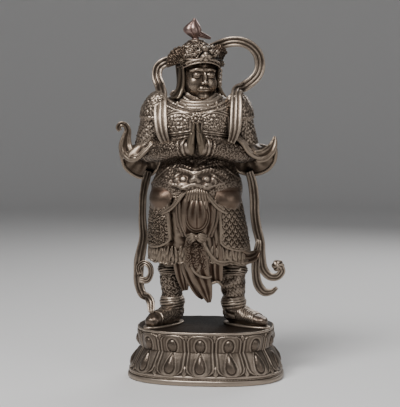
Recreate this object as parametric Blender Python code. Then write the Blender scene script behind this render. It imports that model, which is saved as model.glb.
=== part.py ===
"""A cast bronze guardian figure in armour, standing with joined hands on an oval lotus base.

There are three castings: the lotus base, the figure with its scarf, and the plume that pegs into the
helmet. Everything stands about the middle of the base's underside, with Z up and the front towards -Y.
"""

import math

import bmesh
import bpy
import numpy as np

# The lotus base, in metres
BASE_WIDTH = 0.212
BASE_DEPTH = 0.158
BASE_HEIGHT = 0.069
FOOT_HEIGHT = 0.0125
WAIST_HEIGHT = 0.0425
WAIST_INSET = 0.0195
RIM_HEIGHT = 0.0042
RIM_INSET = 0.0135
RIM_INSET_DEPTH = 0.008
PETALS = 14
PETAL_SETBACK = 0.005
PETAL_BULGE = 0.0042
JEWEL_BULGE = 0.0022
OUTLINE_POWER = 2.5

# The figure, from its soles to the seat of the plume
FIGURE_HEIGHT = 0.385
SOLE_PLATE = 0.0024
SEAT_GAP = 0.0003

# The plume and its peg
PLUME_HEIGHT = 0.0285
PEG_RADIUS = 0.0026
PEG_LENGTH = 0.007
PEG_CLEARANCE = 0.0003

# The body tables below are in units of a 385th of the figure's height, a millimetre at the real size
UNIT = FIGURE_HEIGHT / 385
FLOOR = BASE_HEIGHT + SEAT_GAP
HEAD_AT = (-10.0, 3.0, 333.0)
HEAD_SIZE = 1.12
HEAD_TURN = math.radians(18)
CROWN_LEAN = 3.0
PLUME_AT = (-14.5, 4.0)
FRONT = -math.pi / 2
FLAT_ENOUGH = math.radians(7)

# Trunk and skirt: height, middle, half width, reach to the front and to the back
TRUNK = (
    (166, -12, 58, 42, 36),
    (178, -12, 61, 47, 37),
    (192, -12, 61, 50, 38),
    (206, -12, 55, 45, 36),
    (222, -12, 49, 38, 34),
    (244, -12, 49, 36, 34),
    (264, -12, 53, 36, 35),
    (284, -12, 56, 33, 34),
    (296, -12, 54, 28, 31),
    (304, -12, 45, 21, 27),
    (310, -12, 34, 16, 22),
    (315, -12, 21, 13, 17),
)
SKIRT = (
    (184, -12, 56, 44, 37),
    (172, -12, 57, 47, 40),
    (155, -11, 59, 49, 42),
    (136, -10, 61, 48, 43),
    (115, -9.5, 64, 46, 44),
    (98, -9, 67, 45, 45),
    (88, -8, 69, 44, 45),
)
BODY_POWER = 2.45


def spline(rows, count, fine=12):
    """A smooth curve through the rows of a table, as count rows spaced evenly by length."""
    rows = np.asarray(rows, float)
    knots = np.vstack([2 * rows[0] - rows[1], rows, 2 * rows[-1] - rows[-2]])
    at = np.linspace(0, len(rows) - 1, len(rows) * fine)
    low = np.minimum(at.astype(int), len(rows) - 2)
    t = (at - low)[:, None]
    a, b, c, d = (knots[low + i] for i in range(4))
    dense = b + 0.5 * t * (c - a + t * (2 * a - 5 * b + 4 * c - d + t * (3 * (b - c) + d - a)))
    steps = np.linalg.norm(np.diff(dense[:, :3], axis=0), axis=1)
    length = np.concatenate([[0], np.cumsum(steps)])
    wanted = np.linspace(0, length[-1], count)
    return np.stack([np.interp(wanted, length, column) for column in dense.T], axis=1)


def power(value, exponent):
    return np.sign(value) * np.abs(value) ** exponent


def unit(vectors):
    return vectors / np.linalg.norm(vectors, axis=-1, keepdims=True)


def round_section(count, exponent=2.0):
    """The outline of a limb, as shares of its half width and half depth."""
    turn = 2 * np.pi * np.arange(count) / count
    return np.stack([power(np.cos(turn), 2 / exponent), power(np.sin(turn), 2 / exponent)], axis=1)


def band_section(depth=0.28):
    """The outline of a strip of cloth with three ridges along its face and a flat back."""
    s = np.linspace(-1, 1, 5)
    half = (1 - depth + depth * np.cos(2 * np.pi * s)) * (1 - 0.3 * s**2)
    return np.concatenate([np.stack([s, -half], 1), ((0.9, 0.7), (-0.9, 0.7))])


def sweep(rows, stations, section, facing=(0, 1, 0)):
    """Rings along a curve. A row is x, y, z, half width and half depth; the depth lies along facing."""
    path = spline(rows, stations)
    centre, wide, deep = path[:, :3], path[:, 3], path[:, 4]
    along = unit(np.gradient(centre, axis=0))
    side = unit(np.cross(along, facing))
    out = np.cross(side, along)
    across = side[:, None] * (section[None, :, :1] * wide[:, None, None])
    return centre[:, None] + across + out[:, None] * (section[None, :, 1:] * deep[:, None, None])


def body_point(table, height, turn):
    """The point of the trunk or skirt at a height and a turn about its middle."""
    table = np.asarray(sorted(table), float)
    fine = spline(table, len(table) * 8)
    middle, half, front, back = (np.interp(height, fine[:, 0], fine[:, i]) for i in range(1, 5))
    x = middle + half * power(np.cos(turn), 2 / BODY_POWER)
    reach = np.where(np.sin(turn) < 0, front, back)
    return np.stack([x, reach * power(np.sin(turn), 2 / BODY_POWER), x * 0 + height], axis=-1)


def body_rings(table, stations, count):
    heights = np.linspace(table[0][0], table[-1][0], stations)
    turn = 2 * np.pi * np.arange(count) / count
    return body_point(table, heights[:, None], turn[None, :])


def front_of(table, x, height):
    """How far the front of the trunk or skirt stands out at a point seen from the front."""
    turn = np.linspace(-np.pi, 0, 181)
    line = body_point(table, np.full(turn.shape, float(height)), turn)
    return float(np.interp(x, line[:, 0], line[:, 1]))


def add_mesh(name, points, faces):
    """A closed object from points in body units, with its faces turned outwards."""
    mesh = bpy.data.meshes.new(name)
    mesh.from_pydata((np.asarray(points) * UNIT + (0, 0, FLOOR)).tolist(), [], faces)
    shell = bmesh.new()
    shell.from_mesh(mesh)
    bmesh.ops.recalc_face_normals(shell, faces=shell.faces)
    if shell.calc_volume(signed=True) < 0:
        bmesh.ops.reverse_faces(shell, faces=shell.faces)
    shell.to_mesh(mesh)
    shell.free()
    made = bpy.data.objects.new(name, mesh)
    bpy.context.scene.collection.objects.link(made)
    return made


def loft(name, rings, hollow=0.0):
    """A closed solid over rings of points, ended by fans. Hollow sinks the last fan along the loft."""
    rings = np.asarray(rings, float)
    count, around = rings.shape[:2]
    faces = []
    for i in range(count - 1):
        for j in range(around):
            k = (j + 1) % around
            faces.append((i * around + j, i * around + k, (i + 1) * around + k, (i + 1) * around + j))
    first, last = rings[0].mean(0), rings[-1].mean(0)
    last = last + hollow * (first - last)
    start, end = count * around, count * around + 1
    top = (count - 1) * around
    for j in range(around):
        k = (j + 1) % around
        faces.append((start, k, j))
        faces.append((end, top + j, top + k))
    return add_mesh(name, np.vstack([rings.reshape(-1, 3), first, last]), faces)


def slab(name, outer, inner):
    """A closed solid between two grids of points."""
    rows, columns = outer.shape[:2]
    size = rows * columns
    faces = []
    for i in range(rows - 1):
        for j in range(columns - 1):
            a, b = i * columns + j, (i + 1) * columns + j
            faces.append((a, a + 1, b + 1, b))
            faces.append((size + a, size + b, size + b + 1, size + a + 1))
    edge = list(range(columns))
    edge += [i * columns + columns - 1 for i in range(1, rows)]
    edge += [(rows - 1) * columns + j for j in range(columns - 2, -1, -1)]
    edge += [i * columns for i in range(rows - 2, 0, -1)]
    for a, b in zip(edge, edge[1:] + edge[:1]):
        faces.append((a, b, size + b, size + a))
    return add_mesh(name, np.vstack([outer.reshape(-1, 3), inner.reshape(-1, 3)]), faces)


def plate(name, table, turn, half_turn, top, bottom, drop, thick, sink=4.0, size=(6, 4), swell=0.0):
    """An armour plate on the trunk or skirt. Drop is how far its lower corners are rounded up."""
    columns, rows = size
    s = np.linspace(-1, 1, columns)[None, :]
    t = np.linspace(0, 1, rows)[:, None]
    low = bottom + drop * (1 - np.sqrt(1 - 0.96 * s**2))
    height = top + t * (low - top)
    at = turn + s * half_turn * (0.86 + 0.14 * t)
    skin = body_point(table, height, at)
    middle = np.stack([skin[..., 0] * 0 - 11, skin[..., 1] * 0, skin[..., 2]], axis=-1)
    outward = unit(skin - middle)
    puff = thick + swell * (1 - s**2) * np.sin(np.pi * t)
    return slab(name, skin + outward * puff[..., None], skin - outward * sink)


def ball(name, centre, radii, around=8, stations=4):
    rise = np.linspace(-np.pi / 2, np.pi / 2, stations + 2)[1:-1]
    turn = 2 * np.pi * np.arange(around) / around
    ring = np.stack(np.broadcast_arrays(np.cos(turn), np.sin(turn), 0 * turn), 1)
    rings = ring[None] * np.cos(rise)[:, None, None]
    rings[..., 2] = np.sin(rise)[:, None]
    return loft(name, rings * radii + centre)


def ellipsoid(points, centre, radii):
    """About how far points lie outside an ellipsoid."""
    q = (points - centre) / radii
    near, slope = np.linalg.norm(q, axis=-1), np.linalg.norm(q / radii, axis=-1)
    return near * (near - 1) / np.maximum(slope, 1e-9)


def blend(a, b, soft):
    """Two shapes run into each other, with a fillet of about the size soft."""
    share = np.clip(0.5 + 0.5 * (b - a) / soft, 0, 1)
    return b * (1 - share) + a * share - soft * share * (1 - share)


def turned(points, turn=HEAD_TURN):
    """Points of the head's own frame, turned with the head and set on the neck."""
    c, s = math.cos(turn), math.sin(turn)
    x, y, z = np.moveaxis(np.asarray(points, float) * HEAD_SIZE, -1, 0)
    return np.stack([x * c - y * s, x * s + y * c, z], axis=-1) + HEAD_AT


def head_shape(points):
    """The bare head, as a field that is negative inside. Its face looks along -Y."""
    side = np.abs(points[..., :1])
    points = np.concatenate([side, points[..., 1:]], axis=-1)
    shape = ellipsoid(points, (0, 4, 8), (22, 25, 26))
    shape = blend(shape, ellipsoid(points, (0, -5, -9), (18.5, 18, 19.5)), 6)
    shape = blend(shape, ellipsoid(points, (9, -13, -7), (9, 8.5, 10)), 4)
    shape = blend(shape, ellipsoid(points, (0, -18, -22), (7, 6, 6)), 4)
    shape = blend(shape, ellipsoid(points, (8, -19, 9), (9, 4, 3)), 3)
    shape = blend(shape, ellipsoid(points, (0, -24, -1), (2.6, 4, 9)), 2.5)
    shape = blend(shape, ellipsoid(points, (0, -26.5, -6), (4.4, 4.2, 3)), 2)
    shape = blend(shape, ellipsoid(points, (0, -22.5, -13.5), (6.5, 3.6, 3)), 1.5)
    socket = ellipsoid(points, (8.5, -27, 3), (6, 6, 3.6))
    shape = -blend(-shape, socket, 2)
    return blend(shape, ellipsoid(points, (8.2, -18.6, 2.8), (5.4, 4.2, 3.2)), 1)


def cast_out(shape, around, stations, reach=60.0):
    """Rings of the surface of a shape, found by halving along rays from the origin."""
    rise = np.linspace(-np.pi / 2, np.pi / 2, stations + 2)[1:-1, None]
    turn = FRONT + 2 * np.pi * np.arange(around)[None, :] / around
    rays = np.stack([np.cos(rise) * np.cos(turn), np.cos(rise) * np.sin(turn), np.sin(rise) + 0 * turn], -1)
    low, high = np.zeros(rays.shape[:2]), np.full(rays.shape[:2], reach)
    for _ in range(24):
        middle = (low + high) / 2
        inside = shape(rays * middle[..., None]) < 0
        low, high = np.where(inside, middle, low), np.where(inside, high, middle)
    return rays * low[..., None]


def torso():
    """The armoured trunk, its breast plates, collar, belt and the beast's mask on the belly."""
    yield loft("trunk", body_rings(TRUNK, 11, 20))
    for side in (-1, 1):
        yield plate("breast_plate", TRUNK, FRONT + side * 0.44, 0.34, 300, 247, 10, 3.4, swell=3)
        yield plate("shoulder_blade_plate", TRUNK, -FRONT + side * 0.46, 0.36, 302, 236, 10, 3, size=(5, 3))
    collar = 2 * np.pi * np.arange(12) / 12
    rim = round_section(6)
    ring = np.stack([np.cos(collar), np.sin(collar), np.sin(collar) * 0.36], 1) * (30, 25, 25)
    out = unit(ring * (1, 1, 0))
    tube = ring[:, None] + out[:, None] * rim[None, :, :1] * 6.5 + (0, 0, 5) * rim[None, :, 1:]
    yield torus("collar", tube + (-10, -4, 307))
    belly = (-8.5, front_of(TRUNK, -8, 194) + 3, 194)
    yield ball("mask_muzzle", np.add(belly, (0, -2, -9)), (15, 9, 9))
    yield ball("mask_brow", np.add(belly, (0, 1, 6)), (25, 8, 12))
    for side in (-1, 1):
        yield ball("mask_eye", np.add(belly, (side * 10, -3.5, 2)), (5, 5, 4.6), 6, 3)
        yield ball("mask_cheek", np.add(belly, (side * 22, 5, -7)), (12, 8, 11))
    yield plate("belt", TRUNK, FRONT, 1.25, 181, 172, 0, 4.5, size=(9, 2))


def torus(name, rings):
    """A closed ring of rings."""
    count, around = rings.shape[:2]
    faces = []
    for i in range(count):
        for j in range(around):
            k, n = (j + 1) % around, (i + 1) % count
            faces.append((i * around + j, i * around + k, n * around + k, n * around + j))
    return add_mesh(name, rings.reshape(-1, 3), faces)


def skirt():
    """The skirt with its pleated hem, the scaled side plates, the hip pads and the aprons."""
    rings = body_rings(SKIRT, 8, 36)
    down = np.clip((118 - rings[..., 2]) / 24, 0, 1)
    turn = 2 * np.pi * np.arange(36) / 36
    pleat = 1 + 0.045 * down * np.cos(12 * turn)[None, :]
    middle = np.array((-10, 0))
    rings[..., :2] = middle + (rings[..., :2] - middle) * pleat[..., None]
    rings[-1, :, 2] += 3.5 * np.sin(3 * turn + 1.2) * np.cos(turn)
    yield loft("skirt", rings, hollow=0.16)
    for side, low in ((-1, 107), (1, 103)):
        yield plate("side_plate", SKIRT, FRONT + side * 0.93, 0.52, 168, low, 15, 5, size=(7, 4), swell=3)
        yield plate("back_plate", SKIRT, -FRONT + side * 0.72, 0.56, 172, low, 14, 4.5,
                    size=(6, 3), swell=2)
        yield plate("hip_pad", SKIRT, FRONT + side * 0.88, 0.46, 181, 160, 8, 8.5, size=(5, 3), swell=3)
    yield plate("apron_frame", SKIRT, FRONT + 0.05, 0.31, 178, 127, 16, 4, size=(7, 4), swell=2)
    yield ball("apron_bag", (-7.7, -47.5, 151), (16.5, 9, 24), 10, 5)
    for side in (-1, 1):
        yield ball("bow_loop", (-7 + side * 10, -52, 124), (9.5, 4.5, 4), 6, 3)
    yield ball("bow_knot", (-7, -54, 124), (4.5, 5, 4.5), 6, 3)


def aprons():
    """The cloths that hang below the bow. A row is x, y, z, half width and half depth."""
    cloths = {
        "long_tail": (
            (-8, -42, 126, 13, 8), (-9, -44, 108, 15, 8), (-7, -44, 90, 15, 8), (-3, -44, 74, 13.5, 7.5),
            (2, -43, 60, 11, 6.5), (6, -42, 47, 7.5, 5), (8.5, -41, 36, 2.5, 2.5),
        ),
        "left_tail": (
            (-19, -36, 112, 9, 8), (-20, -38, 92, 9, 8), (-17, -40, 74, 8, 7), (-10, -41, 58, 7, 5),
            (-4, -40, 46, 5, 4), (0, -40, 40, 2, 2),
        ),
        "left_fold": (
            (-32, -33, 118, 9, 8), (-31, -33, 92, 9.5, 7), (-28, -29, 68, 8.5, 6), (-25, -26, 50, 4, 4),
        ),
        "right_fold": (
            (14, -38, 122, 9, 7), (16, -40, 98, 11, 6.5), (16, -38, 78, 11, 6), (17, -36, 64, 9, 4),
        ),
        "flying_hem": (
            (44, -26, 100, 10, 8), (56, -16, 94, 9, 6), (66, -6, 95, 7, 5), (73, 0, 101, 4, 4),
        ),
    }
    for name, rows in cloths.items():
        yield loft(name, sweep(rows, len(rows) + 1, band_section(depth=0.16)))


LEGS = {
    "right": ((-44, 4, 112, 18, 17), (-46.5, 1, 88, 16.5, 15.5), (-47, 0, 64, 16, 15.5),
              (-46.5, 1, 42, 14, 14), (-46, 3, 26, 13.5, 14.5), (-46, 4, 10, 12, 14)),
    "left": ((31, 4, 112, 18, 17), (34, 1, 86, 17.5, 15.5), (36, 0, 60, 17, 15.5),
             (38, 1, 40, 14.5, 14), (39, 3, 24, 13.5, 14.5), (38.5, 4, 10, 12, 14)),
}
FEET = {
    "right": ((-40, 15, 9, 8, 8), (-43, 9, 14, 12, 14), (-49, -3, 14, 13, 14), (-56, -15, 11, 13.5, 11.5),
              (-63, -27, 11, 13, 11), (-69, -37, 11, 11, 10.5), (-72, -42, 11.5, 6, 6.5)),
    "left": ((30, 15, 9, 8, 8), (35, 10, 14, 12, 14), (46, 1, 14, 12.5, 14), (57, -7, 11, 13, 11),
             (68, -15, 10.5, 12.5, 10.5), (77, -21, 11, 10.5, 10), (82, -25, 12, 6, 6)),
}


def legs():
    """The greaved legs and the boots, on thin sole plates."""
    for side, rows in LEGS.items():
        yield loft(f"{side}_leg", sweep(rows, 7, round_section(10)))
    for side, rows in FEET.items():
        boot = sweep(rows, 7, round_section(10, 2.3), facing=(0, 0, 1))
        boot[..., 2] = np.maximum(boot[..., 2], 1.0)
        yield loft(f"{side}_boot", boot)
        heel, toe = np.array(rows[0][:2]), np.array(rows[-1][:2])
        ahead = unit(toe - heel)
        turn = 2 * np.pi * np.arange(14) / 14
        oval = np.outer(np.cos(turn), ahead) * (np.linalg.norm(toe - heel) / 2 + 7)
        oval += np.outer(np.sin(turn), (-ahead[1], ahead[0])) * 17
        flat = np.concatenate([oval + (heel + toe) / 2, np.zeros((14, 1))], axis=1)
        yield loft(f"{side}_sole_plate", [flat, flat + (0, 0, SOLE_PLATE / UNIT)])
    for side, x in (("right", -46.5), ("left", 37.5)):
        yield loft(f"{side}_greave_cuff", sweep(
            ((x, 1, 80, 17.5, 17), (x, 0, 74, 19, 18.5), (x, 0, 69, 17, 17)), 3, round_section(10)))
        yield loft(f"{side}_ankle_wrap", sweep(
            ((x, 2, 36, 15, 16), (x, 2, 29, 17, 18), (x, 2, 22, 15, 16)), 3, round_section(10)))


ARMS = {
    "right": ((-54, 2, 307, 8, 12), (-62, 2, 300, 15, 18), (-68, 2, 287, 18.5, 20),
              (-71, 2, 270, 18.5, 19), (-76, 1, 250, 18.5, 18), (-80, 0, 232, 17, 16)),
    "left": ((31, 2, 307, 8, 12), (38, 2, 300, 15, 18), (43, 2, 287, 18, 20),
             (46, 2, 270, 17.5, 19), (51, 1, 250, 17.5, 18), (56, 0, 232, 16, 16)),
}
FOREARMS = {
    "right": ((-86, 6, 234, 12, 12), (-74, -10, 235, 14, 14), (-55, -27, 236, 14, 14),
              (-36, -42, 239, 12, 12), (-19, -52, 241, 9.5, 10), (-12, -54, 243, 7, 8)),
    "left": ((60, 6, 234, 12, 12), (50, -10, 235, 14, 14), (36, -26, 236, 14, 14),
             (21, -42, 239, 12, 12), (5, -52, 241, 9.5, 10), (-1, -54, 243, 7, 8)),
}


def arms():
    """The upper arms under their shoulder guards, the forearms, and the palms pressed together."""
    for side, rows in ARMS.items():
        yield loft(f"{side}_arm", sweep(rows, 6, round_section(10)))
        guard = [(x, y, z + 1.5, wide + 1.4, deep + 3) for x, y, z, wide, deep in rows[:3]]
        guard.append((*rows[2][:2], 278, rows[2][3] + 2.2, 22.5))
        yield loft(f"{side}_shoulder_guard", sweep(guard, 5, round_section(12)))
        yield loft(f"{side}_forearm", sweep(FOREARMS[side], 6, round_section(10), facing=(0, 0, 1)))
    for side in (-1, 1):
        palm = ((-6.8 + side * 8, -50, 236, 6, 8), (-6.6 + side * 6.8, -55, 246, 6.4, 9.5),
                (-6.3 + side * 5.2, -60, 257, 5, 8.5), (-6.1 + side * 3.4, -65, 267, 3.3, 6.5),
                (-6 + side * 2.2, -68, 274, 2, 3.5))
        yield loft("palm", sweep(palm, 5, round_section(8, 2.4)))


# Each sleeve's open mouth, from its inner end along the front to its tip and home along the back
SLEEVES = {
    "right": ((-60, -12, 230), (-67, -24, 245), (-76, -28, 237), (-88, -29, 226), (-100, -25, 224),
              (-109, -18, 230), (-115, -8, 235), (-115, 2, 225), (-112, 10, 212), (-102, 14, 203),
              (-89, 14, 198.5), (-75, 10, 204), (-64, 0, 214)),
    "left": ((33, -14, 232), (37, -28, 255), (50, -30, 248), (61, -27, 233), (74, -22, 227),
             (86, -14, 232), (93, -5, 239), (94, 3, 232), (91, 8, 220), (81, 12, 209),
             (63, 14, 203.5), (45, 10, 207), (35, 0, 217)),
}


def mouth_ring(points, count):
    """An even ring through the points of a sleeve's mouth."""
    loop = spline(np.vstack([points[-2:], points, points[:2]]), 240)
    near = np.linalg.norm(loop - points[0], axis=1)
    start = int(np.argmin(near[:120]))
    end = 120 + int(np.argmin(near[120:]))
    at = np.linspace(start, end, count + 1)[:-1]
    return np.stack([np.interp(at, np.arange(240), column) for column in loop.T], axis=1)


def sleeves():
    """The wide sleeves, open below, and the curl in which the right one ends."""
    count = 18
    turn = 2 * np.pi * np.arange(count) / count
    for side, points in SLEEVES.items():
        mouth = mouth_ring(np.array(points, float), count)
        arm = np.array(ARMS[side][4][:3])
        start = 18 if side == "right" else -18
        cuff = np.stack([start * np.cos(turn), -19 * np.sin(turn), 0 * turn - 7], 1) + arm
        inner = np.array(FOREARMS[side][1][:3])
        lip = mouth * 0.84 + mouth.mean(0) * 0.16
        rings = [cuff + (0, 0, 3), cuff * 0.5 + mouth * 0.5 + (0, 0, 1), mouth, lip + (0, 0, -0.5),
                 lip * 0.55 + inner * 0.45 + (0, 0, 3)]
        yield loft(f"{side}_sleeve", rings)
        rolled = np.concatenate([np.roll(mouth, 2, axis=0)[:10], np.full((10, 2), (3.4, 2.6))], axis=1)
        yield loft(f"{side}_sleeve_rim", sweep(rolled, 9, round_section(5)))
    curl = ((-103, -14, 228, 9, 5), (-108, -10, 241, 9, 5), (-107.5, -8, 253, 6.5, 4.5),
            (-105.5, -7, 263, 4.5, 4), (-108.5, -7, 270, 4, 4), (-114.5, -8, 271.5, 4, 4),
            (-118, -8, 267, 3.6, 4), (-115.5, -8, 263, 3, 3.5))
    yield loft("sleeve_curl", sweep(curl, 11, band_section()))
    horn = ((68, -20, 229, 8, 5), (79, -17, 231, 8.5, 5), (88, -12, 238, 7, 4.5), (92, -8, 247, 4.5, 3.5),
            (93, -5, 255, 1.5, 2))
    yield loft("sleeve_tip", sweep(horn, 7, band_section()))


def scarf():
    """The scarf over both shoulders with its two loops, and the ends that hang from the arms."""
    strips = {
        "scarf": (25, (
            (-49, -35, 246, 5.5, 3.5), (-55, -34, 262, 8, 3.6), (-58, -27, 282, 9, 3.6),
            (-59, -16, 300, 8.5, 3.6), (-60, -2, 314, 7.5, 3.6), (-64, 11, 324, 7, 3.6),
            (-69, 18, 336, 7, 3.6), (-67.5, 21, 348, 7, 3.6),
            (-59, 22, 355, 7, 3.6), (-45, 27, 359, 7, 3.6), (-28, 34, 364, 7, 3.6), (-11, 37, 369, 7, 3.6),
            (8, 33, 376, 7, 3.6), (26, 26, 382, 7, 3.6), (42, 24, 383, 7, 3.6), (57, 24, 378, 7, 3.6),
            (68, 24, 367, 7, 3.6), (71.5, 24, 353, 7, 3.6), (69, 22, 340, 7, 3.6), (61, 20, 330, 7, 3.6),
            (50, 15, 322, 7, 3.6), (43, 4, 318, 7, 3.6), (42, -9, 312, 7, 3.6), (43, -19, 301, 7.5, 3.6),
            (43, -27, 284, 8, 3.6), (42, -33, 264, 7.5, 3.6), (37, -35, 247, 5, 3.5))),
        "right_end": (13, (
            (-79, 6, 208, 5, 3.5), (-84, 5, 190, 5.5, 3.2), (-87, 4, 168, 5, 3.2), (-87.5, 4, 142, 5, 3.2),
            (-86, 3, 118, 6, 3.2), (-89.5, 2, 98, 7, 3.2), (-92, 0, 78, 7, 3.2), (-92, -1, 56, 6.5, 3.2),
            (-87, -5, 41, 6, 3.2), (-78, -12, 37, 5.5, 3), (-73, -20, 31, 5.5, 3), (-71, -27, 21, 5, 3))),
        "right_end_loop": (12, (
            (-91, -2, 60, 4, 3), (-80, -5, 60, 4.5, 3), (-74.5, -7, 69, 4, 3), (-76, -8, 79, 4, 3),
            (-84, -7, 83.5, 4, 3), (-91, -6, 78, 4, 3), (-90, -5, 68, 3.5, 3))),
        "left_end": (14, (
            (58, 6, 208, 5, 3.5), (63, 5, 192, 6, 3.2), (65.5, 5, 172, 6.5, 3.2), (66, 6, 150, 6.5, 3.2),
            (69, 6, 130, 6.5, 3.2), (73.5, 4, 112, 6.5, 3.2), (74.5, 2, 94, 6.5, 3.2), (78, 0, 77, 6, 3.2),
            (87, -3, 67, 5.5, 3.2), (97, -5, 67, 5, 3.2), (103, -6, 74, 5, 3.2), (101, -6, 81, 5, 3.5))),
        "left_end_tail": (9, (
            (71, 3, 110, 5, 3), (68.5, 1, 92, 5.5, 3), (68, 0, 72, 6, 3), (71, -1, 56, 6, 3),
            (79, -3, 46, 5.5, 3), (89, -4, 46, 4, 2.6), (97, -4, 52, 2.5, 2))),
    }
    for name, (stations, rows) in strips.items():
        yield loft(name, sweep(rows, stations, band_section()))
    yield ball("end_knot", (98, -6, 82), (8.5, 7, 8))


def head():
    """The head, which looks to its left, and the helmet with its flaps and neck guard."""
    yield loft("head", turned(cast_out(head_shape, 20, 13)))
    yield loft("neck", sweep(((-11.5, 3, 300, 14, 14), (-11.5, 3, 318, 13, 13)), 2, round_section(10)))
    crown = (FIGURE_HEIGHT / UNIT - HEAD_AT[2]) / HEAD_SIZE
    dome = ((26, 27, 12), (26.5, 27.5, 19), (25, 26, 27), (21, 22, 34), (15, 16, 40), (9, 9, crown - 1.5),
            (7, 7, crown))
    turn = FRONT + 2 * np.pi * np.arange(18) / 18
    rings = []
    for wide, deep, z in dome:
        x = wide * np.cos(turn) - CROWN_LEAN * (z - 12) / (crown - 12)
        rings.append(np.stack([x, 2 + deep * np.sin(turn), z + 0 * turn], axis=1))
    rings[0][:, 2] += 2.5 * np.cos(2 * (turn - FRONT)) + 3
    rings[1][:, 2] += 1.5 * np.cos(2 * (turn - FRONT)) + 1
    yield loft("helmet", turned(np.array(rings)))
    guard = ((27, 27, 16, 3), (27, 27, 2, 3), (28, 28, -12, 3.5), (31, 32, -23, 3.5))
    swing = np.linspace(-0.42, math.pi + 0.42, 11)
    outer = np.array([[(a * math.cos(w), 2 + b * math.sin(w), z) for w in swing] for a, b, z, _ in guard])
    inner = np.array([[((a - t) * math.cos(w), 2 + (b - t) * math.sin(w), z) for w in swing]
                      for a, b, z, t in guard])
    yield slab("neck_guard", turned(outer), turned(inner))
    for side, lift in ((-1, -1), (1, 3)):
        flap = ((side * 19, -19, 19 + lift, 5, 4), (side * 25, -12, 20 + lift, 9, 5),
                (side * 29, -3, 22 + lift, 11, 5), (side * 31, 6, 24 + lift, 10.5, 4.5),
                (side * 32, 13, 27 + lift, 6, 3.5))
        yield loft("helmet_flap", turned(upright(flap, 6, round_section(8, 2.4))))
        yield ball("flap_boss", turned((side * 28, -10, 20 + lift)), (5, 5, 5), 6, 3)
    yield ball("brow_jewel", turned((0, -26, 24)), (6, 4.5, 8), 6, 4)
    yield ball("brow_crest", turned((0, -24, 33)), (10, 4, 6), 6, 3)


def upright(rows, stations, section):
    """Rings of a strip that stands on edge, so that its half width is a height."""
    path = spline(rows, stations)
    along = unit(np.gradient(path[:, :3], axis=0) * (1, 1, 0))
    out = np.stack([along[:, 1], -along[:, 0], 0 * along[:, 0]], axis=1)
    high = path[:, None, 3:4] * section[None, :, :1] * (0, 0, 1)
    return path[:, None, :3] + high + out[:, None] * section[None, :, 1:] * path[:, None, 4:5]


def drill(target, radius, depth, top, centre):
    """Cuts a round socket down into target."""
    turn = 2 * np.pi * np.arange(16) / 16
    ring = np.stack([radius * np.cos(turn), radius * np.sin(turn), 0 * turn], 1) / UNIT
    cutter = loft("plume_socket", np.array([ring, ring + (0, 0, depth * 2 / UNIT)]) + centre)
    cutter.location.z = top - depth - centre[2] * UNIT - FLOOR
    as_helper(cutter)
    cut = target.modifiers.new("socket", "BOOLEAN")
    cut.operation = "DIFFERENCE"
    cut.object = cutter


def as_helper(obj):
    obj.hide_render = True
    obj.display_type = "WIRE"


def bronze(name, colour, roughness):
    made = bpy.data.materials.new(name)
    made.use_nodes = True
    shader = made.node_tree.nodes["Principled BSDF"]
    shader.inputs["Base Color"].default_value = (*colour, 1)
    shader.inputs["Roughness"].default_value = roughness
    shader.inputs["Metallic"].default_value = 0.85
    return made


def deity_figure(material):
    """The whole figure, run together as one casting."""
    helpers = bpy.data.collections.new("figure_forms")
    bpy.context.scene.collection.children.link(helpers)
    body, *forms = [
        form for group in (torso, skirt, aprons, legs, arms, sleeves, scarf, head) for form in group()
    ]
    for form in forms:
        bpy.context.scene.collection.objects.unlink(form)
        helpers.objects.link(form)
        as_helper(form)
    body.name = "deity_figure"
    body.data.materials.append(material)
    join = body.modifiers.new("one casting", "BOOLEAN")
    join.operation = "UNION"
    join.solver = "MANIFOLD"
    join.operand_type = "COLLECTION"
    join.collection = helpers
    merge = body.modifiers.new("merge flat facets", "DECIMATE")
    merge.decimate_type = "DISSOLVE"
    merge.angle_limit = FLAT_ENOUGH
    drill(body, PEG_RADIUS + PEG_CLEARANCE, PEG_LENGTH + PEG_CLEARANCE, FLOOR + FIGURE_HEIGHT,
          (*PLUME_AT, 380))
    return body


def even_turns(half_width, half_depth, count):
    """Turns round the base's oval that are evenly spaced along its edge, from the middle of the front."""
    turn = FRONT + np.linspace(0, 2 * np.pi, 2881)
    x = half_width * power(np.cos(turn), 2 / OUTLINE_POWER)
    y = half_depth * power(np.sin(turn), 2 / OUTLINE_POWER)
    length = np.concatenate([[0], np.cumsum(np.hypot(np.diff(x), np.diff(y)))])
    return np.interp(length[-1] * np.arange(count) / count, length, turn)


def petal_swell(share, tip):
    """How proud a petal stands. Share is the place across the petals, tip runs from root 0 to tip 1."""
    across = 2 * (share - np.round(share))
    width = np.sqrt(np.clip(1 - np.clip((tip - 0.45) / 0.6, 0, 1) ** 2, 0, 1))
    edge = np.clip(1 - (np.abs(across) / np.maximum(width, 0.05)) ** 2, 0, 1)
    jewel = np.exp(-((across / 0.34) ** 2) - ((tip - 0.62) / 0.3) ** 2)
    rise = np.sin(np.pi * np.clip(0.15 + 0.8 * tip, 0, 1))
    return PETAL_BULGE * np.sqrt(edge) * rise + JEWEL_BULGE * jewel


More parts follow.
